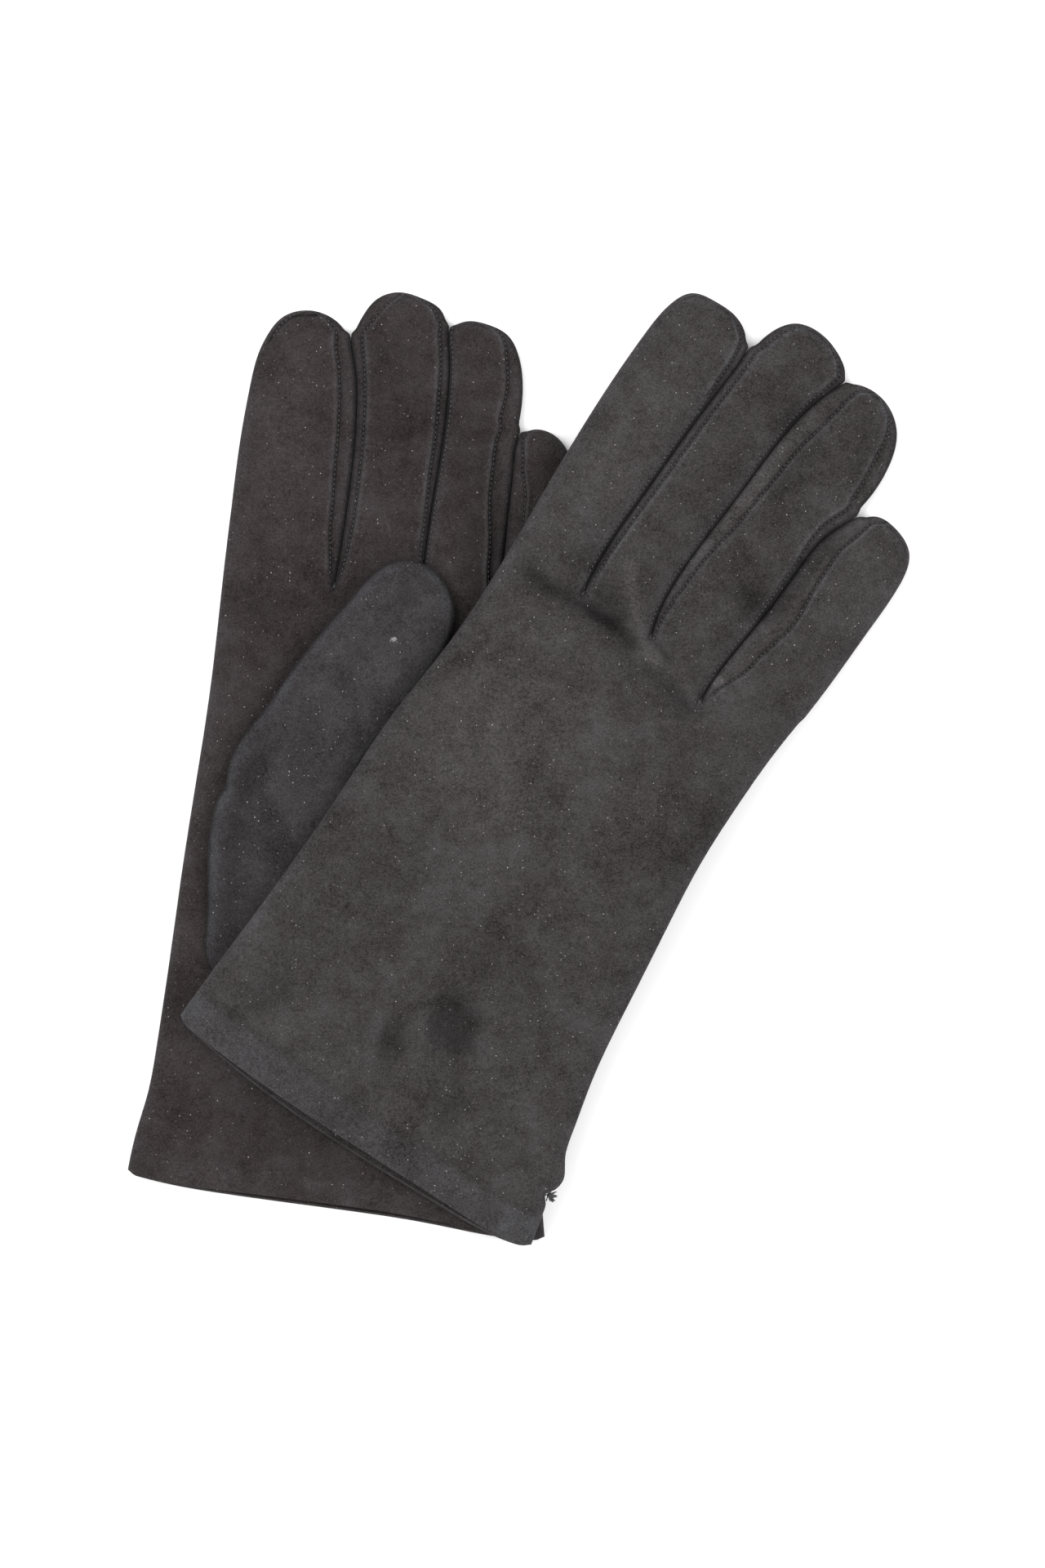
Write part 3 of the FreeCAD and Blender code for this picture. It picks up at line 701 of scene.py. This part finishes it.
class Finger:
    """One finger's leather as a ring: columns over the top from left to right, then back under it."""

    def __init__(self, glove, i):
        self.name = f"{glove.side}_{FINGERS[i]}"
        self.glove = glove
        self.seams = SEAMS[self.name]
        self.along = finger_rows()
        left, right = glove.lines["fingers"][i]
        offsets = [seam_offsets(values) for values in self.seams]
        over = finger_plan(left, right, *offsets)
        under_seam = np.full(FINGER_ROWS, UNDER_SEAM)
        beneath = finger_plan(left, right, under_seam, under_seam)
        self.last = over.shape[1] - 1
        self.base_plan = over[0]
        length = arc_lengths(left)[-1] * self.along
        self.fade = (step(length, 1.0, 6.0) * (1 - step(self.along, 0.955, 0.985)))[:, None]

        top_z, _, away, marks = glove.layers(over)
        under_z = glove.layers(beneath)[1]
        relief = np.zeros(marks.shape[:2] + (3,))
        self.add_seams(relief, over, offsets)
        self.add_tip_seam(relief, away)
        if self.name in OUTER_TIP_SEAM:
            self.add_outer_tip_seam(relief, distance_to(over.reshape(-1, 2), [left]).reshape(away.shape))
        lift = relief[..., 0]
        lift[:, [0, -1]] = 0
        upper = np.dstack([over, top_z + lift])
        lower = np.dstack([beneath, under_z + self.under_relief(beneath)])
        self.ring, self.normals, self.marks = wrapped(upper, lower, marks + relief[..., 1:])
        ahead = self.ring[-1, 0] - self.ring[-8].mean(axis=0)
        self.normals[-1] = ahead / np.linalg.norm(ahead)
        edges = [side + column for side in (0, self.last) for column in (FORK_COLUMNS, PANEL_END)]
        gaps = [np.linalg.norm(self.ring - self.ring[:, c:c + 1], axis=2) for c in edges]
        self.seam_gap = np.min(gaps, axis=0)

    def add_seams(self, relief, plan, offsets):
        """The ridge on each panel edge and the dip of the fork beside it, as lift, tone and cool: a painted
        highlight and cool painted sheen on the ridge, painted shade in the seam's groove, and lighter forks.
        """
        sag = np.sin(math.pi * spaced(FORK_COLUMNS, FORK_CROWDING))
        for k, forks, span, away in beside_seams(self.seams, plan):
            offset = offsets[k][:, None]
            seen = self.fade * step(offset, 1.0, 1.7)
            ridge = RAISE * bell(away - RIDGE_IN, RIDGE_WIDE)
            relief[..., 0] += seen * np.where(forks, -SINK * bell(away, SINK_REACH), ridge)
            relief[:, span, 0] -= seen * FORK_DIP * offset * sag
            relief[..., 1] += seen * np.where(forks, FORK_LIGHT, RIDGE_PAINTED_HIGHLIGHT * ridge)
            relief[..., 1] -= seen * SEAM_SHADE * bell(away, 0.45)
            relief[..., 2] += seen * np.where(forks, 0, ridge)

    def add_tip_seam(self, relief, away):
        """The seam that joins the two panels round the fingertip, with a painted highlight and cool painted
        sheen on its ridge and painted shade in its groove.
        """
        columns = np.arange(away.shape[1])
        on_panel = (columns >= FORK_COLUMNS) & (columns <= PANEL_END)
        strength = TIP_STRENGTH[self.glove.side] * step(self.along, 0.8, 0.93)[:, None] * on_panel
        groove, ridge = bell(away - TIP_SEAM, 0.4), bell(away - TIP_SEAM - 0.9, 0.6)
        relief[..., 0] += strength * 0.3 * (ridge - groove)
        relief[..., 1] += strength * (0.18 * ridge - 0.4 * groove)
        relief[..., 2] += strength * 0.4 * ridge

    def add_outer_tip_seam(self, relief, from_side):
        start, inset = OUTER_TIP_SEAM[self.name]
        groove = bell(from_side - inset, 0.4) * step(self.along, start - 0.03, start)[:, None] * self.fade
        # a groove with painted shade in it
        relief[..., 0] -= 0.35 * groove
        relief[..., 1] -= 0.8 * groove

    def under_relief(self, plan):
        """The forks start a little higher than the lower panel's edges."""
        lift = np.zeros(plan.shape[:2])
        for _, forks, _, away in beside_seams(self.seams, plan):
            lift += forks * SINK * 0.7 * bell(away, 1.0) * self.fade
        lift[:, [0, -1]] = 0
        return lift

    def columns(self, first, last):
        return np.arange(first, last + 1) % (2 * self.last)

    def panel(self, name, first, last, nodes):
        """A piece of leather over those columns of the ring, thinned along its seams."""
        pick = self.columns(first, last)
        outer = self.ring[:, pick]
        thin = LEATHER - (LEATHER - SKIVED) * bell(self.seam_gap[:, pick], 1.0)
        inner = outer - self.normals[:, pick] * thin[..., None]
        piece = leather_piece(name, outer, inner, self.marks[:, pick])
        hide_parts(*nodes)
        return piece

    def fork(self, name, first, last, nodes):
        """A fork, whose two edges are tucked under the panels beside it."""
        pick = self.columns(first, last)
        wide = self.columns(first - 2, last + 2)[[0, *range(2, len(pick) + 2), -1]]
        tuck = np.zeros(len(wide))
        tuck[[0, -1]] = LEATHER + 0.15
        tuck[[1, -2]] = 0.6 * (RAISE * 0.2 + SINK)
        taper = (1 - step(self.along, 0.93, 0.975))[:, None, None]
        outer = self.ring[:, wide] - self.normals[:, wide] * tuck[None, :, None] * (0.2 + 0.8 * taper)
        inner = outer - self.normals[:, wide] * FORK_LEATHER
        piece = leather_piece(name, outer, inner, self.marks[:, wide])
        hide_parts(*nodes)
        return piece

    def lining(self):
        rows = self.along < LINING_END
        name = f"{self.name}_lining_sleeve"
        piece = lining_piece(name, self.ring[rows], self.normals[rows], FINGER_LINING_GAP)
        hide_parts(f"{self.name}_lining")
        return piece

    def seam_stitches(self, name, column):
        """A row of stitches just inside a panel's edge."""
        line = self.ring[:, column]
        return stitch_row(name, line, self.normals[:, column], 3.5, arc_lengths(line)[-1] * 0.94)

    def outer_tip_stitches(self, name):
        """Stitches along the short seam on the outer side of the tip."""
        start, inset = OUTER_TIP_SEAM[self.name]
        away = np.linalg.norm(self.ring[:, :PANEL_END, :2] - self.ring[:, :1, :2], axis=2)
        column = np.argmax(away > inset + 0.25, axis=1)
        rows = np.arange(len(self.ring))
        line, normals = self.ring[rows, column], self.normals[rows, column]
        total = arc_lengths(line)[-1]
        return stitch_row(name, line, normals, total * start, total * 0.93)


# ---- materials

class Graph:
    """A short way to write a material's nodes."""

    def __init__(self, name, roughness):
        self.material = bpy.data.materials.new(name)
        self.material.use_nodes = True
        self.tree = self.material.node_tree
        self.shader = self.tree.nodes["Principled BSDF"]
        self.shader.inputs["Roughness"].default_value = roughness
        self.place = self.add("TexCoord", {})["Object"]

    def plug(self, socket, value):
        if isinstance(value, (int, float, tuple)):
            socket.default_value = value
        else:
            self.tree.links.new(value, socket)

    def add(self, kind, inputs, **settings):
        """A new node's outputs."""
        node = self.tree.nodes.new("ShaderNode" + kind)
        for setting, value in settings.items():
            setattr(node, setting, value)
        for socket, value in inputs.items():
            self.plug(node.inputs[socket], value)
        return node.outputs

    def noise(self, size, detail=2.0, rough=0.5, distortion=0.0, offset=(0, 0, 0)):
        """Noise whose bumps are about that many millimetres across."""
        place = self.vector("ADD", self.place, offset)
        return self.add("TexNoise", {"Vector": place, "Scale": 1 / size / MM, "Detail": detail,
                                     "Roughness": rough, "Distortion": distortion})["Fac"]

    def cells(self, size):
        """The distance to the middle of the nearest cell, and two random numbers for that cell."""
        found = self.add("TexVoronoi", {"Vector": self.place, "Scale": 1 / size / MM})
        parts = self.add("SeparateColor", {"Color": found["Color"]})
        return found["Distance"], parts["Red"], parts["Green"]

    def vector(self, operation, a, b):
        second = "Scale" if operation == "SCALE" else 1
        found = self.add("VectorMath", {0: a, second: b}, operation=operation)
        return found["Value" if operation == "DISTANCE" else "Vector"]

    def maths(self, operation, a, b):
        return self.add("Math", {0: a, 1: b}, operation=operation)[0]

    def total(self, *parts):
        """The sum of (value, weight) pairs."""
        result = 0.0
        for value, weight in parts:
            result = self.maths("ADD", result, self.maths("MULTIPLY", value, weight))
        return result

    def spread(self, value, low, high, to_low=0.0, to_high=1.0):
        return self.add("MapRange", {"Value": value, "From Min": low, "From Max": high,
                                     "To Min": to_low, "To Max": to_high})["Result"]

    def mix(self, factor, a, b):
        return self.add("Mix", {0: factor, 6: a, 7: b}, data_type="RGBA")[2]

    def mark(self, name):
        return self.add("Attribute", {}, attribute_name=name)["Fac"]

    def colour(self, value):
        self.plug(self.shader.inputs["Base Color"], value)

    def bump(self, height, strength, depth):
        found = self.add("Bump", {"Height": height, "Strength": strength, "Distance": depth * MM})
        self.plug(self.shader.inputs["Normal"], found["Normal"])


LINT = (0.36, 0.34, 0.33, 1)
LINT_CELL = 1.05  # a speck of lint lies in some of the cells of this size
LINT_REACH = 0.16  # and reaches up to this part of the cell
SCUFF = (0.3, 0.29, 0.29, 1)


def suede_material(name, warm, cold, depth, seed, scuff=None):
    """Napped suede: brushed patches, a short nap, specks of lint, and the marks that the mesh carries, which
    are nap tone with painted shade and painted highlights.
    """
    graph = Graph(name, 0.95)
    offset = (seed * 0.13, seed * 0.07, 0)
    brushed = graph.spread(graph.noise(30, 3, 0.55, 0.8, offset), 0.36, 0.64)
    patches = graph.spread(graph.noise(8, 3, 0.6, 0.5, offset), 0.35, 0.66)
    tufts = graph.spread(graph.noise(1.7, 3, 0.7, 0.0, offset), 0.3, 0.7)
    grain = graph.spread(graph.noise(0.5, 2, 0.65, 0.0, offset), 0.32, 0.68)
    nap = graph.total((brushed, 0.19), (patches, 0.17), (tufts, 0.2), (grain, 0.44))
    shade = graph.spread(nap, 0.1, 0.9, 1 - depth, 1 + depth)
    # the mesh's marks lighten or darken the colour: the nap's tone, with painted shade and painted highlights
    nap_and_painted_light_factor = graph.spread(graph.mark("tone"), -1.0, 1.0, 0.1, 1.9)
    hue = graph.total((graph.mark("cool"), 0.8), (patches, 0.3), (brushed, 0.25))
    shade = graph.maths("MULTIPLY", shade, nap_and_painted_light_factor)
    colour = graph.vector("SCALE", graph.mix(hue, (*warm, 1), (*cold, 1)), shade)

    near, chosen, strength = graph.cells(LINT_CELL)
    inside = graph.maths("LESS_THAN", near, graph.spread(chosen, 0.4, 1.0, 0.0, LINT_REACH))
    speck = graph.maths("MULTIPLY", inside, graph.spread(strength, 0.2, 1, 0.08, 0.8))
    colour = graph.mix(speck, colour, LINT)
    if scuff:
        place, size = scuff
        gap = graph.vector("DISTANCE", graph.place, tuple(c * MM for c in place))
        ragged = graph.total((gap, 1 / size / MM), (graph.noise(1.1, 3, 0.8), 2.2))
        colour = graph.mix(graph.spread(ragged, 1.75, 1.45, 0.0, 0.55), colour, SCUFF)
    graph.colour(colour)
    graph.shader.inputs["Specular IOR Level"].default_value = 0.05
    graph.shader.inputs["Sheen Weight"].default_value = 0.05
    graph.shader.inputs["Sheen Roughness"].default_value = 0.5
    graph.shader.inputs["Sheen Tint"].default_value = (0.85, 0.85, 0.9, 1)
    graph.bump(graph.total((grain, 0.7), (tufts, 0.9), (patches, 0.4)), 0.6, 0.22)
    return graph.material


def knit_material():
    """A fine rib knit in dark yarn."""
    graph = Graph("knit_lining", 0.9)
    wave = graph.add("TexWave", {"Vector": graph.place, "Scale": 0.33 / MM, "Distortion": 1.2,
                                 "Detail Scale": 2.0})
    loops = graph.total((wave["Fac"], 0.7), (graph.noise(0.5), 0.5))
    graph.colour(graph.mix(loops, (0.008, 0.008, 0.009, 1), (0.03, 0.03, 0.034, 1)))
    graph.bump(loops, 0.7, 0.2)
    return graph.material


def thread_material():
    """Twisted sewing thread."""
    graph = Graph("sewing_thread", 0.7)
    twist = graph.noise(0.25)
    graph.colour(graph.mix(twist, (0.012, 0.012, 0.013, 1), (0.05, 0.05, 0.055, 1)))
    graph.bump(twist, 0.5, 0.08)
    return graph.material


SUEDE = {
    "left": suede_material("suede_left", (0.0258, 0.0203, 0.0203), (0.0255, 0.0236, 0.0246), 0.68, 1),
    "right": suede_material("suede_right", (0.0324, 0.0279, 0.0275), (0.03, 0.0296, 0.031), 0.75, 2),
    "left_thumb": suede_material("suede_left_thumb", (0.0294, 0.0254, 0.0258), (0.0275, 0.027, 0.0285),
                                 0.68, 3, ((-34.5, 35.0, 12.6), 1.5)),
}
SUEDE["right_thumb"] = SUEDE["left"]
KNIT = knit_material()
THREAD = thread_material()


def finish_piece(piece, material, slot):
    piece.data.materials.append(material)


# ---- building the gloves

def blend_finger(piece, finger):
    """A finger's piece with its transform baked into its mesh; the finger's hinge, its pivot and the knuckle
    line's normal are looked up but not used.
    """
    hinge = next(joint for joint in joints.values() if joint["child"] == finger.name)
    pivot = Vector(hinge["pos_m"])
    normal = Vector((*finger.glove.lines["normal"], 0))
    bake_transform(piece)


def build_finger(glove, i):
    finger = Finger(glove, i)
    name, last, edge, far = finger.name, finger.last, FORK_COLUMNS, PANEL_END
    upper, lower = ("palm", "back") if glove.side == "left" else ("back", "palm")
    both = [f"{name}_back", f"{name}_palm"]
    if i == 0:
        leathers = [finger.panel(f"{name}_leather", last + edge, 2 * last + far, both)]
        forks = [finger.fork(f"{name}_fork_leather", far, last + edge, [f"{name}_fork"])]
    elif i == 3:
        leathers = [finger.panel(f"{name}_leather", edge, last + far, both)]
        forks = [finger.fork(f"{name}_fork_leather", last + far, 2 * last + edge, [f"{name}_fork"])]
    else:
        leathers = [finger.panel(f"{name}_{upper}_leather", edge, far, [f"{name}_{upper}"]),
                    finger.panel(f"{name}_{lower}_leather", last + edge, last + far, [f"{name}_{lower}"])]
        spans = (("index", last + far, 2 * last + edge), ("little", far, last + edge))
        forks = [finger.fork(f"{name}_fork_{side}_leather", start, end, [f"{name}_fork_{side}_side"])
                 for side, start, end in spans]
    threads = [finger.seam_stitches(f"{name}_stitches_{side}_side", column)
               for side, column, seam in zip(("index", "little"), (edge, far), finger.seams) if seam]
    if name in OUTER_TIP_SEAM:
        threads.append(finger.outer_tip_stitches(f"{name}_stitches_outer_tip"))
    suede = SUEDE[glove.side]
    for pieces, look, slot in ((leathers, suede, "suede"), (forks, suede, "fork_suede"),
                               (threads, THREAD, "thread"), ([finger.lining()], KNIT, "knit_lining")):
        for piece in pieces:
            finish_piece(piece, look, slot)
            blend_finger(piece, finger)
    return finger


def hand_plan(glove, fingers, reach):
    """Plan points of the hand: rows from the cuff to the crotches, columns from the index side across."""
    lines = glove.lines
    head = np.concatenate([fingers[0].base_plan] + [finger.base_plan[1:] for finger in fingers[1:]])
    fractions = arc_lengths(head)
    fractions /= fractions[-1]
    rows = np.linspace(0, 1, HAND_ROWS)
    rows = rows - HAND_CROWDING * np.sin(2 * math.pi * rows)
    foot = resampled(lines["cuff"], fractions)
    along_foot = arc_lengths(foot)
    corner = bell(np.minimum(along_foot, along_foot[-1] - along_foot), CORNER_WIDE)
    drop = reach * np.sin(math.pi * fractions) ** 0.7 - CORNER_ROUND * corner
    foot = foot - lines["normal"] * drop[:, None]
    left, right = resampled(lines["index_side"], rows), resampled(lines["little_side"], rows)
    v, u = rows[:, None, None], fractions[None, :, None]
    straight = ((1 - v) * (1 - u) * foot[0] + (1 - v) * u * foot[-1]
                + v * (1 - u) * head[0] + v * u * head[-1])
    return (1 - v) * foot[None] + v * head[None] + (1 - u) * left[:, None] + u * right[:, None] - straight


def finish_on_hand(piece, side, look, slot, *nodes):
    finish_piece(piece, look, slot)
    if nodes:
        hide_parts(*nodes)
    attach(piece, f"{side}_hand")


def build_hand(glove, fingers):
    side = glove.side
    over, beneath = (hand_plan(glove, fingers, reach) for reach in CUFF_REACH[side])
    top, _, _, marks = glove.layers(over)
    under = glove.layers(beneath)[1]
    from_edge = np.linalg.norm(over - over[:1], axis=2)
    bead = CUFF_BEAD * (1 - quarter(from_edge / CUFF_BEAD_WIDE))
    # a painted highlight along the cuff's rounded edge
    marks[..., 0] += CUFF_RIM_PAINTED_HIGHLIGHT * bell(from_edge, RIM_IN)
    upper, lower = np.dstack([over, top - bead]), np.dstack([beneath, under + bead])
    ring, normals, marks = wrapped(upper, lower, marks)
    leather = leather_piece(f"{side}_hand_leather", ring, ring - normals * LEATHER, marks, wraps=True)
    finish_on_hand(leather, side, SUEDE[side], "suede", f"{side}_hand_back", f"{side}_hand_palm")

    depth = np.linalg.norm(ring - ring[:1], axis=2).mean(axis=1)
    band = int(np.searchsorted(depth, HEM_DEPTH))
    outer = ring[:band] - normals[:band] * (LEATHER + PLY_GAP)
    inner = outer - normals[:band] * HEM_THICK
    hem = leather_piece(f"{side}_cuff_hem_leather", outer, inner, marks[:band], wraps=True)
    finish_on_hand(hem, side, SUEDE[side], "cuff_hem", f"{side}_cuff_hem")

    start = band - 2
    lining = lining_piece(f"{side}_hand_lining_sleeve", ring[start:], normals[start:], LINING_GAP + HEM_THICK)
    finish_on_hand(lining, side, KNIT, "knit_lining", f"{side}_hand_lining")


def thread_ends(centre, outwards, count, reach, rng):
    """Loose thread ends that fan out from one place: their centres, directions and lengths."""
    found = []
    for _ in range(count):
        ahead = np.array([*outwards, 0.25]) + rng.normal(0, 0.55, 3)
        ahead[2] = abs(ahead[2]) * 0.6
        ahead /= np.linalg.norm(ahead)
        length = reach * rng.uniform(0.6, 1.0)
        found.append((centre + ahead * length * 0.45, ahead, length))
    return found


def build_tack(glove, name, strands, ups, width, *nodes):
    """Strands of thread in one piece on the hand."""
    centres, directions, lengths = zip(*strands)
    piece = capsules(name, centres, directions, ups, lengths, width)
    finish_on_hand(piece, glove.side, THREAD, "thread", *nodes)


def build_threads(glove):
    """The bound thread at the bottom of each gap between two fingers, and at the vent of the right cuff."""
    lines = glove.lines
    rng = np.random.default_rng(glove.seed)
    across = np.array([*lines["along"], 0.0])
    for i, crotch in enumerate(lines["crotches"]):
        node = f"{glove.side}_{FINGERS[i]}_{FINGERS[i + 1]}_crotch"
        height = glove.base(np.array([crotch]))[0] + EDGE_RISE + 0.6
        strands = []
        for k in range(TACK_TURNS):
            place = np.array([*(crotch + lines["normal"] * (0.9 - TACK_WIDTH * k)), height + 0.25 * k])
            strands.append((place, across, 1.5 + 0.12 * k))
        if (glove.side, i) == FRAYED_TACK:
            strands += thread_ends(strands[2][0] + UP * 0.6, -lines["normal"], 14, 2.6, rng)
        build_tack(glove, f"{node}_tack", strands, [UP] * len(strands), TACK_WIDTH, node)
    if glove.side == "right":
        place = points_at(lines["little_side"], [VENT_FROM_CUFF])[0] + lines["along"] * 0.5
        height = glove.base(np.array([place]))[0] + EDGE_RISE
        strands = thread_ends(np.array([*place, height + 0.4]), lines["along"], 30, 3.0, rng)
        ups = [np.cross(np.cross(ahead, UP), ahead) for _, ahead, _ in strands]
        ups = [up / np.linalg.norm(up) for up in ups]
        build_tack(glove, "right_cuff_vent_tack", strands, ups, VENT_THREAD)


# ---- thumbs

THUMB_LOW = 7.4
THUMB_HIGH = 13.1
THUMB_RUNOUT = 60.0  # a thumb rises out of the palm over this length
ROOT_THICK = 2.4  # how thick it is where it starts
ROOT_SUNK = 1.9  # and how deep that end lies in the palm's leather
THUMB_EDGE = 1.6  # the radius of its rounded edge, where it is thick enough
THUMB_SWELL_REACH = 4.5
THUMB_WAVES = ((17, 0.24), (6, 0.1))
THUMB_OUTLINE_PAINTED_SHADOW = 0.85  # the painted contact shadow along the thumb's outline, where it lies on the palm, and the painted highlight on the rim inside it
THUMB_RIM_PAINTED_HIGHLIGHT = 0.17
THUMB_RIM_IN = 1.8
THUMB_SLICES = 90
THUMB_ROWS = 110
THUMB_COLUMNS = 44


def thumb_sides(side):
    """A thumb's left and right plan lines, from slices across it and its base, its pivot and direction."""
    pivot = np.array(joints[f"{side}_thumb_swing"]["pos_m"][:2]) / MM
    corners, edges, count = [], [], 0
    for name in (f"{side}_thumb_top", f"{side}_thumb_base"):
        more, faces, _ = node_surface(name)
        edges += [faces[:, [0, 1]] + count, faces[:, [1, 2]] + count, faces[:, [2, 0]] + count]
        corners.append(more)
        count += len(more)
    corners = np.concatenate(corners)
    edges = np.unique(np.sort(np.concatenate(edges), axis=1), axis=0)
    reach = np.linalg.norm(corners[:, :2] - pivot, axis=1) * (corners[:, 1] > pivot[1])
    ahead = corners[np.argmax(reach), :2] - pivot
    ahead /= np.linalg.norm(ahead)
    across = np.array([ahead[1], -ahead[0]])
    s, t = (corners[:, :2] - pivot) @ ahead, (corners[:, :2] - pivot) @ across
    margin = 0.02
    places = 0.5 * (1 - np.cos(math.pi * np.linspace(0, 1, THUMB_SLICES)))
    left, right = [], []
    for station in s.min() + margin + (s.max() - s.min() - 2 * margin) * places:
        a, b = s[edges[:, 0]] - station, s[edges[:, 1]] - station
        hit = edges[a * b < 0]
        a, b = s[hit[:, 0]] - station, s[hit[:, 1]] - station
        crossing = t[hit[:, 0]] + (t[hit[:, 1]] - t[hit[:, 0]]) * a / (a - b)
        left.append(pivot + ahead * station + across * crossing.min())
        right.append(pivot + ahead * station + across * crossing.max())
    root, tip = (left[0] + right[0]) / 2, (left[-1] + right[-1]) / 2
    left, right = (smoothed(np.vstack([root, line[1:-1], tip]), 5.0) for line in (left, right))
    return left, right, pivot, ahead


def build_thumb(glove):
    """A thumb as one folded tube that runs out into the palm at its root."""
    side = glove.side
    key = f"{side}_thumb"
    left, right, pivot, ahead = thumb_sides(side)
    k = np.linspace(0, 1, THUMB_ROWS)
    along = 0.5 * k + 0.25 * (1 - np.cos(math.pi * k))
    u = spaced(THUMB_COLUMNS, 0.85)[None, :, None]
    plan = resampled(left, along)[:, None] * (1 - u) + resampled(right, along)[:, None] * u
    shape, flat = plan.shape[:2], plan.reshape(-1, 2)
    away = distance_to(flat, [left, right])
    reach = (flat - left[0]) @ ahead
    risen = step(reach, 0, THUMB_RUNOUT)
    thick = ROOT_THICK + (THUMB_HIGH - THUMB_LOW - ROOT_THICK) * risen
    radius = np.minimum(THUMB_EDGE, thick * 0.4)
    low = THUMB_LOW - ROOT_SUNK * (1 - step(reach, 0, 0.5 * THUMB_RUNOUT))
    creases = crease_depth(key, flat)
    uneven = waves(flat, THUMB_WAVES, glove.seed + 7)
    rounding = quarter(away / radius)
    swell = 1 - np.exp(-np.maximum(away - SWELL_FROM, 0) / THUMB_SWELL_REACH)
    top = low + radius * (1 + rounding) + swell * (thick - 2 * radius + risen * (uneven - creases))
    under = low + radius * (1 - rounding * UNDER_RISE)
    # painted shade by the creases, a painted contact shadow along the outline, and a painted highlight with a
    # cool painted sheen on the rim inside it; the whole thumb's suede is a little cooler too
    tone = nap_and_shade_tone(key, flat) - CREASE_SHADE * creases
    tone += THUMB_RIM_PAINTED_HIGHLIGHT * bell(away - THUMB_RIM_IN, 1.0) - THUMB_OUTLINE_PAINTED_SHADOW * bell(away, 0.6)
    cool = 0.6 * bell(away - THUMB_RIM_IN, 1.4) + 0.25
    upper, lower = (np.dstack([plan, height.reshape(shape)]) for height in (top, under))
    ring, normals, marks = wrapped(upper, lower, np.column_stack([tone, cool]).reshape(*shape, 2))
    for row, direction in ((0, -1), (-1, 1)):
        normals[row] = np.array([*(ahead * direction), 0])
    leather = leather_piece(f"{key}_leather", ring, ring - normals * THUMB_LEATHER, marks, wraps=True)
    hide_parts(f"{key}_top", f"{key}_under", f"{key}_base")
    finish_piece(leather, SUEDE[key], "suede")

    start = int(np.argmax(along > 0.5))
    end = int(np.argmax(along > LINING_END))
    lining = lining_piece(f"{key}_lining_sleeve", ring[start:end], normals[start:end], LINING_GAP)
    finish_piece(lining, KNIT, "knit_lining")
    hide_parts(f"{key}_lining")
    for piece in (leather, lining):
        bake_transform(piece)


draped = drape([f"right_{part}_palm" for part in ("hand",) + FINGERS])
for side, base in (("left", tabletop), ("right", draped)):
    glove = Glove(side, base)
    fingers = [build_finger(glove, i) for i in range(4)]
    build_hand(glove, fingers)
    build_threads(glove)
    build_thumb(glove)


# ---- floor, light and camera

def floor():
    bpy.ops.mesh.primitive_plane_add(size=4)
    plane = bpy.context.object
    plane.name = "floor"
    material = bpy.data.materials.new("pale_floor")
    material.use_nodes = True
    shader = material.node_tree.nodes["Principled BSDF"]
    shader.inputs["Base Color"].default_value = (0.95, 0.95, 0.95, 1)
    shader.inputs["Roughness"].default_value = 0.9
    plane.data.materials.append(material)


def light(name, place, size, watts):
    lamp = bpy.data.lights.new(name, "AREA")
    lamp.size, lamp.energy = size, watts
    holder = bpy.data.objects.new(name, lamp)
    holder.location = place
    holder.rotation_euler = (-Vector(place)).to_track_quat("-Z", "Y").to_euler()
    bpy.context.scene.collection.objects.link(holder)


def camera():
    """Straight down from high above the pair, with a long lens."""
    view_centre = Vector((0.0009, -0.0046, 0.009))
    view_length = 0.4305
    distance = 1.62
    lens = bpy.data.cameras.new("camera")
    lens.sensor_fit = "VERTICAL"
    lens.sensor_height = 36.0
    lens.lens = lens.sensor_height * distance / view_length
    holder = bpy.data.objects.new("camera", lens)
    holder.location = view_centre + Vector((0, 0, distance))
    bpy.context.scene.collection.objects.link(holder)
    bpy.context.scene.camera = holder


floor()
light("softbox_left", (-0.9, 0.5, 1.2), 1.2, 22)
light("softbox_right", (0.9, -0.2, 1.3), 1.2, 15)
world = bpy.data.worlds.new("studio")
world.use_nodes = True
world.node_tree.nodes["Background"].inputs["Color"].default_value = (1, 1, 1, 1)
world.node_tree.nodes["Background"].inputs["Strength"].default_value = 0.9
bpy.context.scene.world = world
bpy.context.scene.view_settings.view_transform = "Standard"
camera()
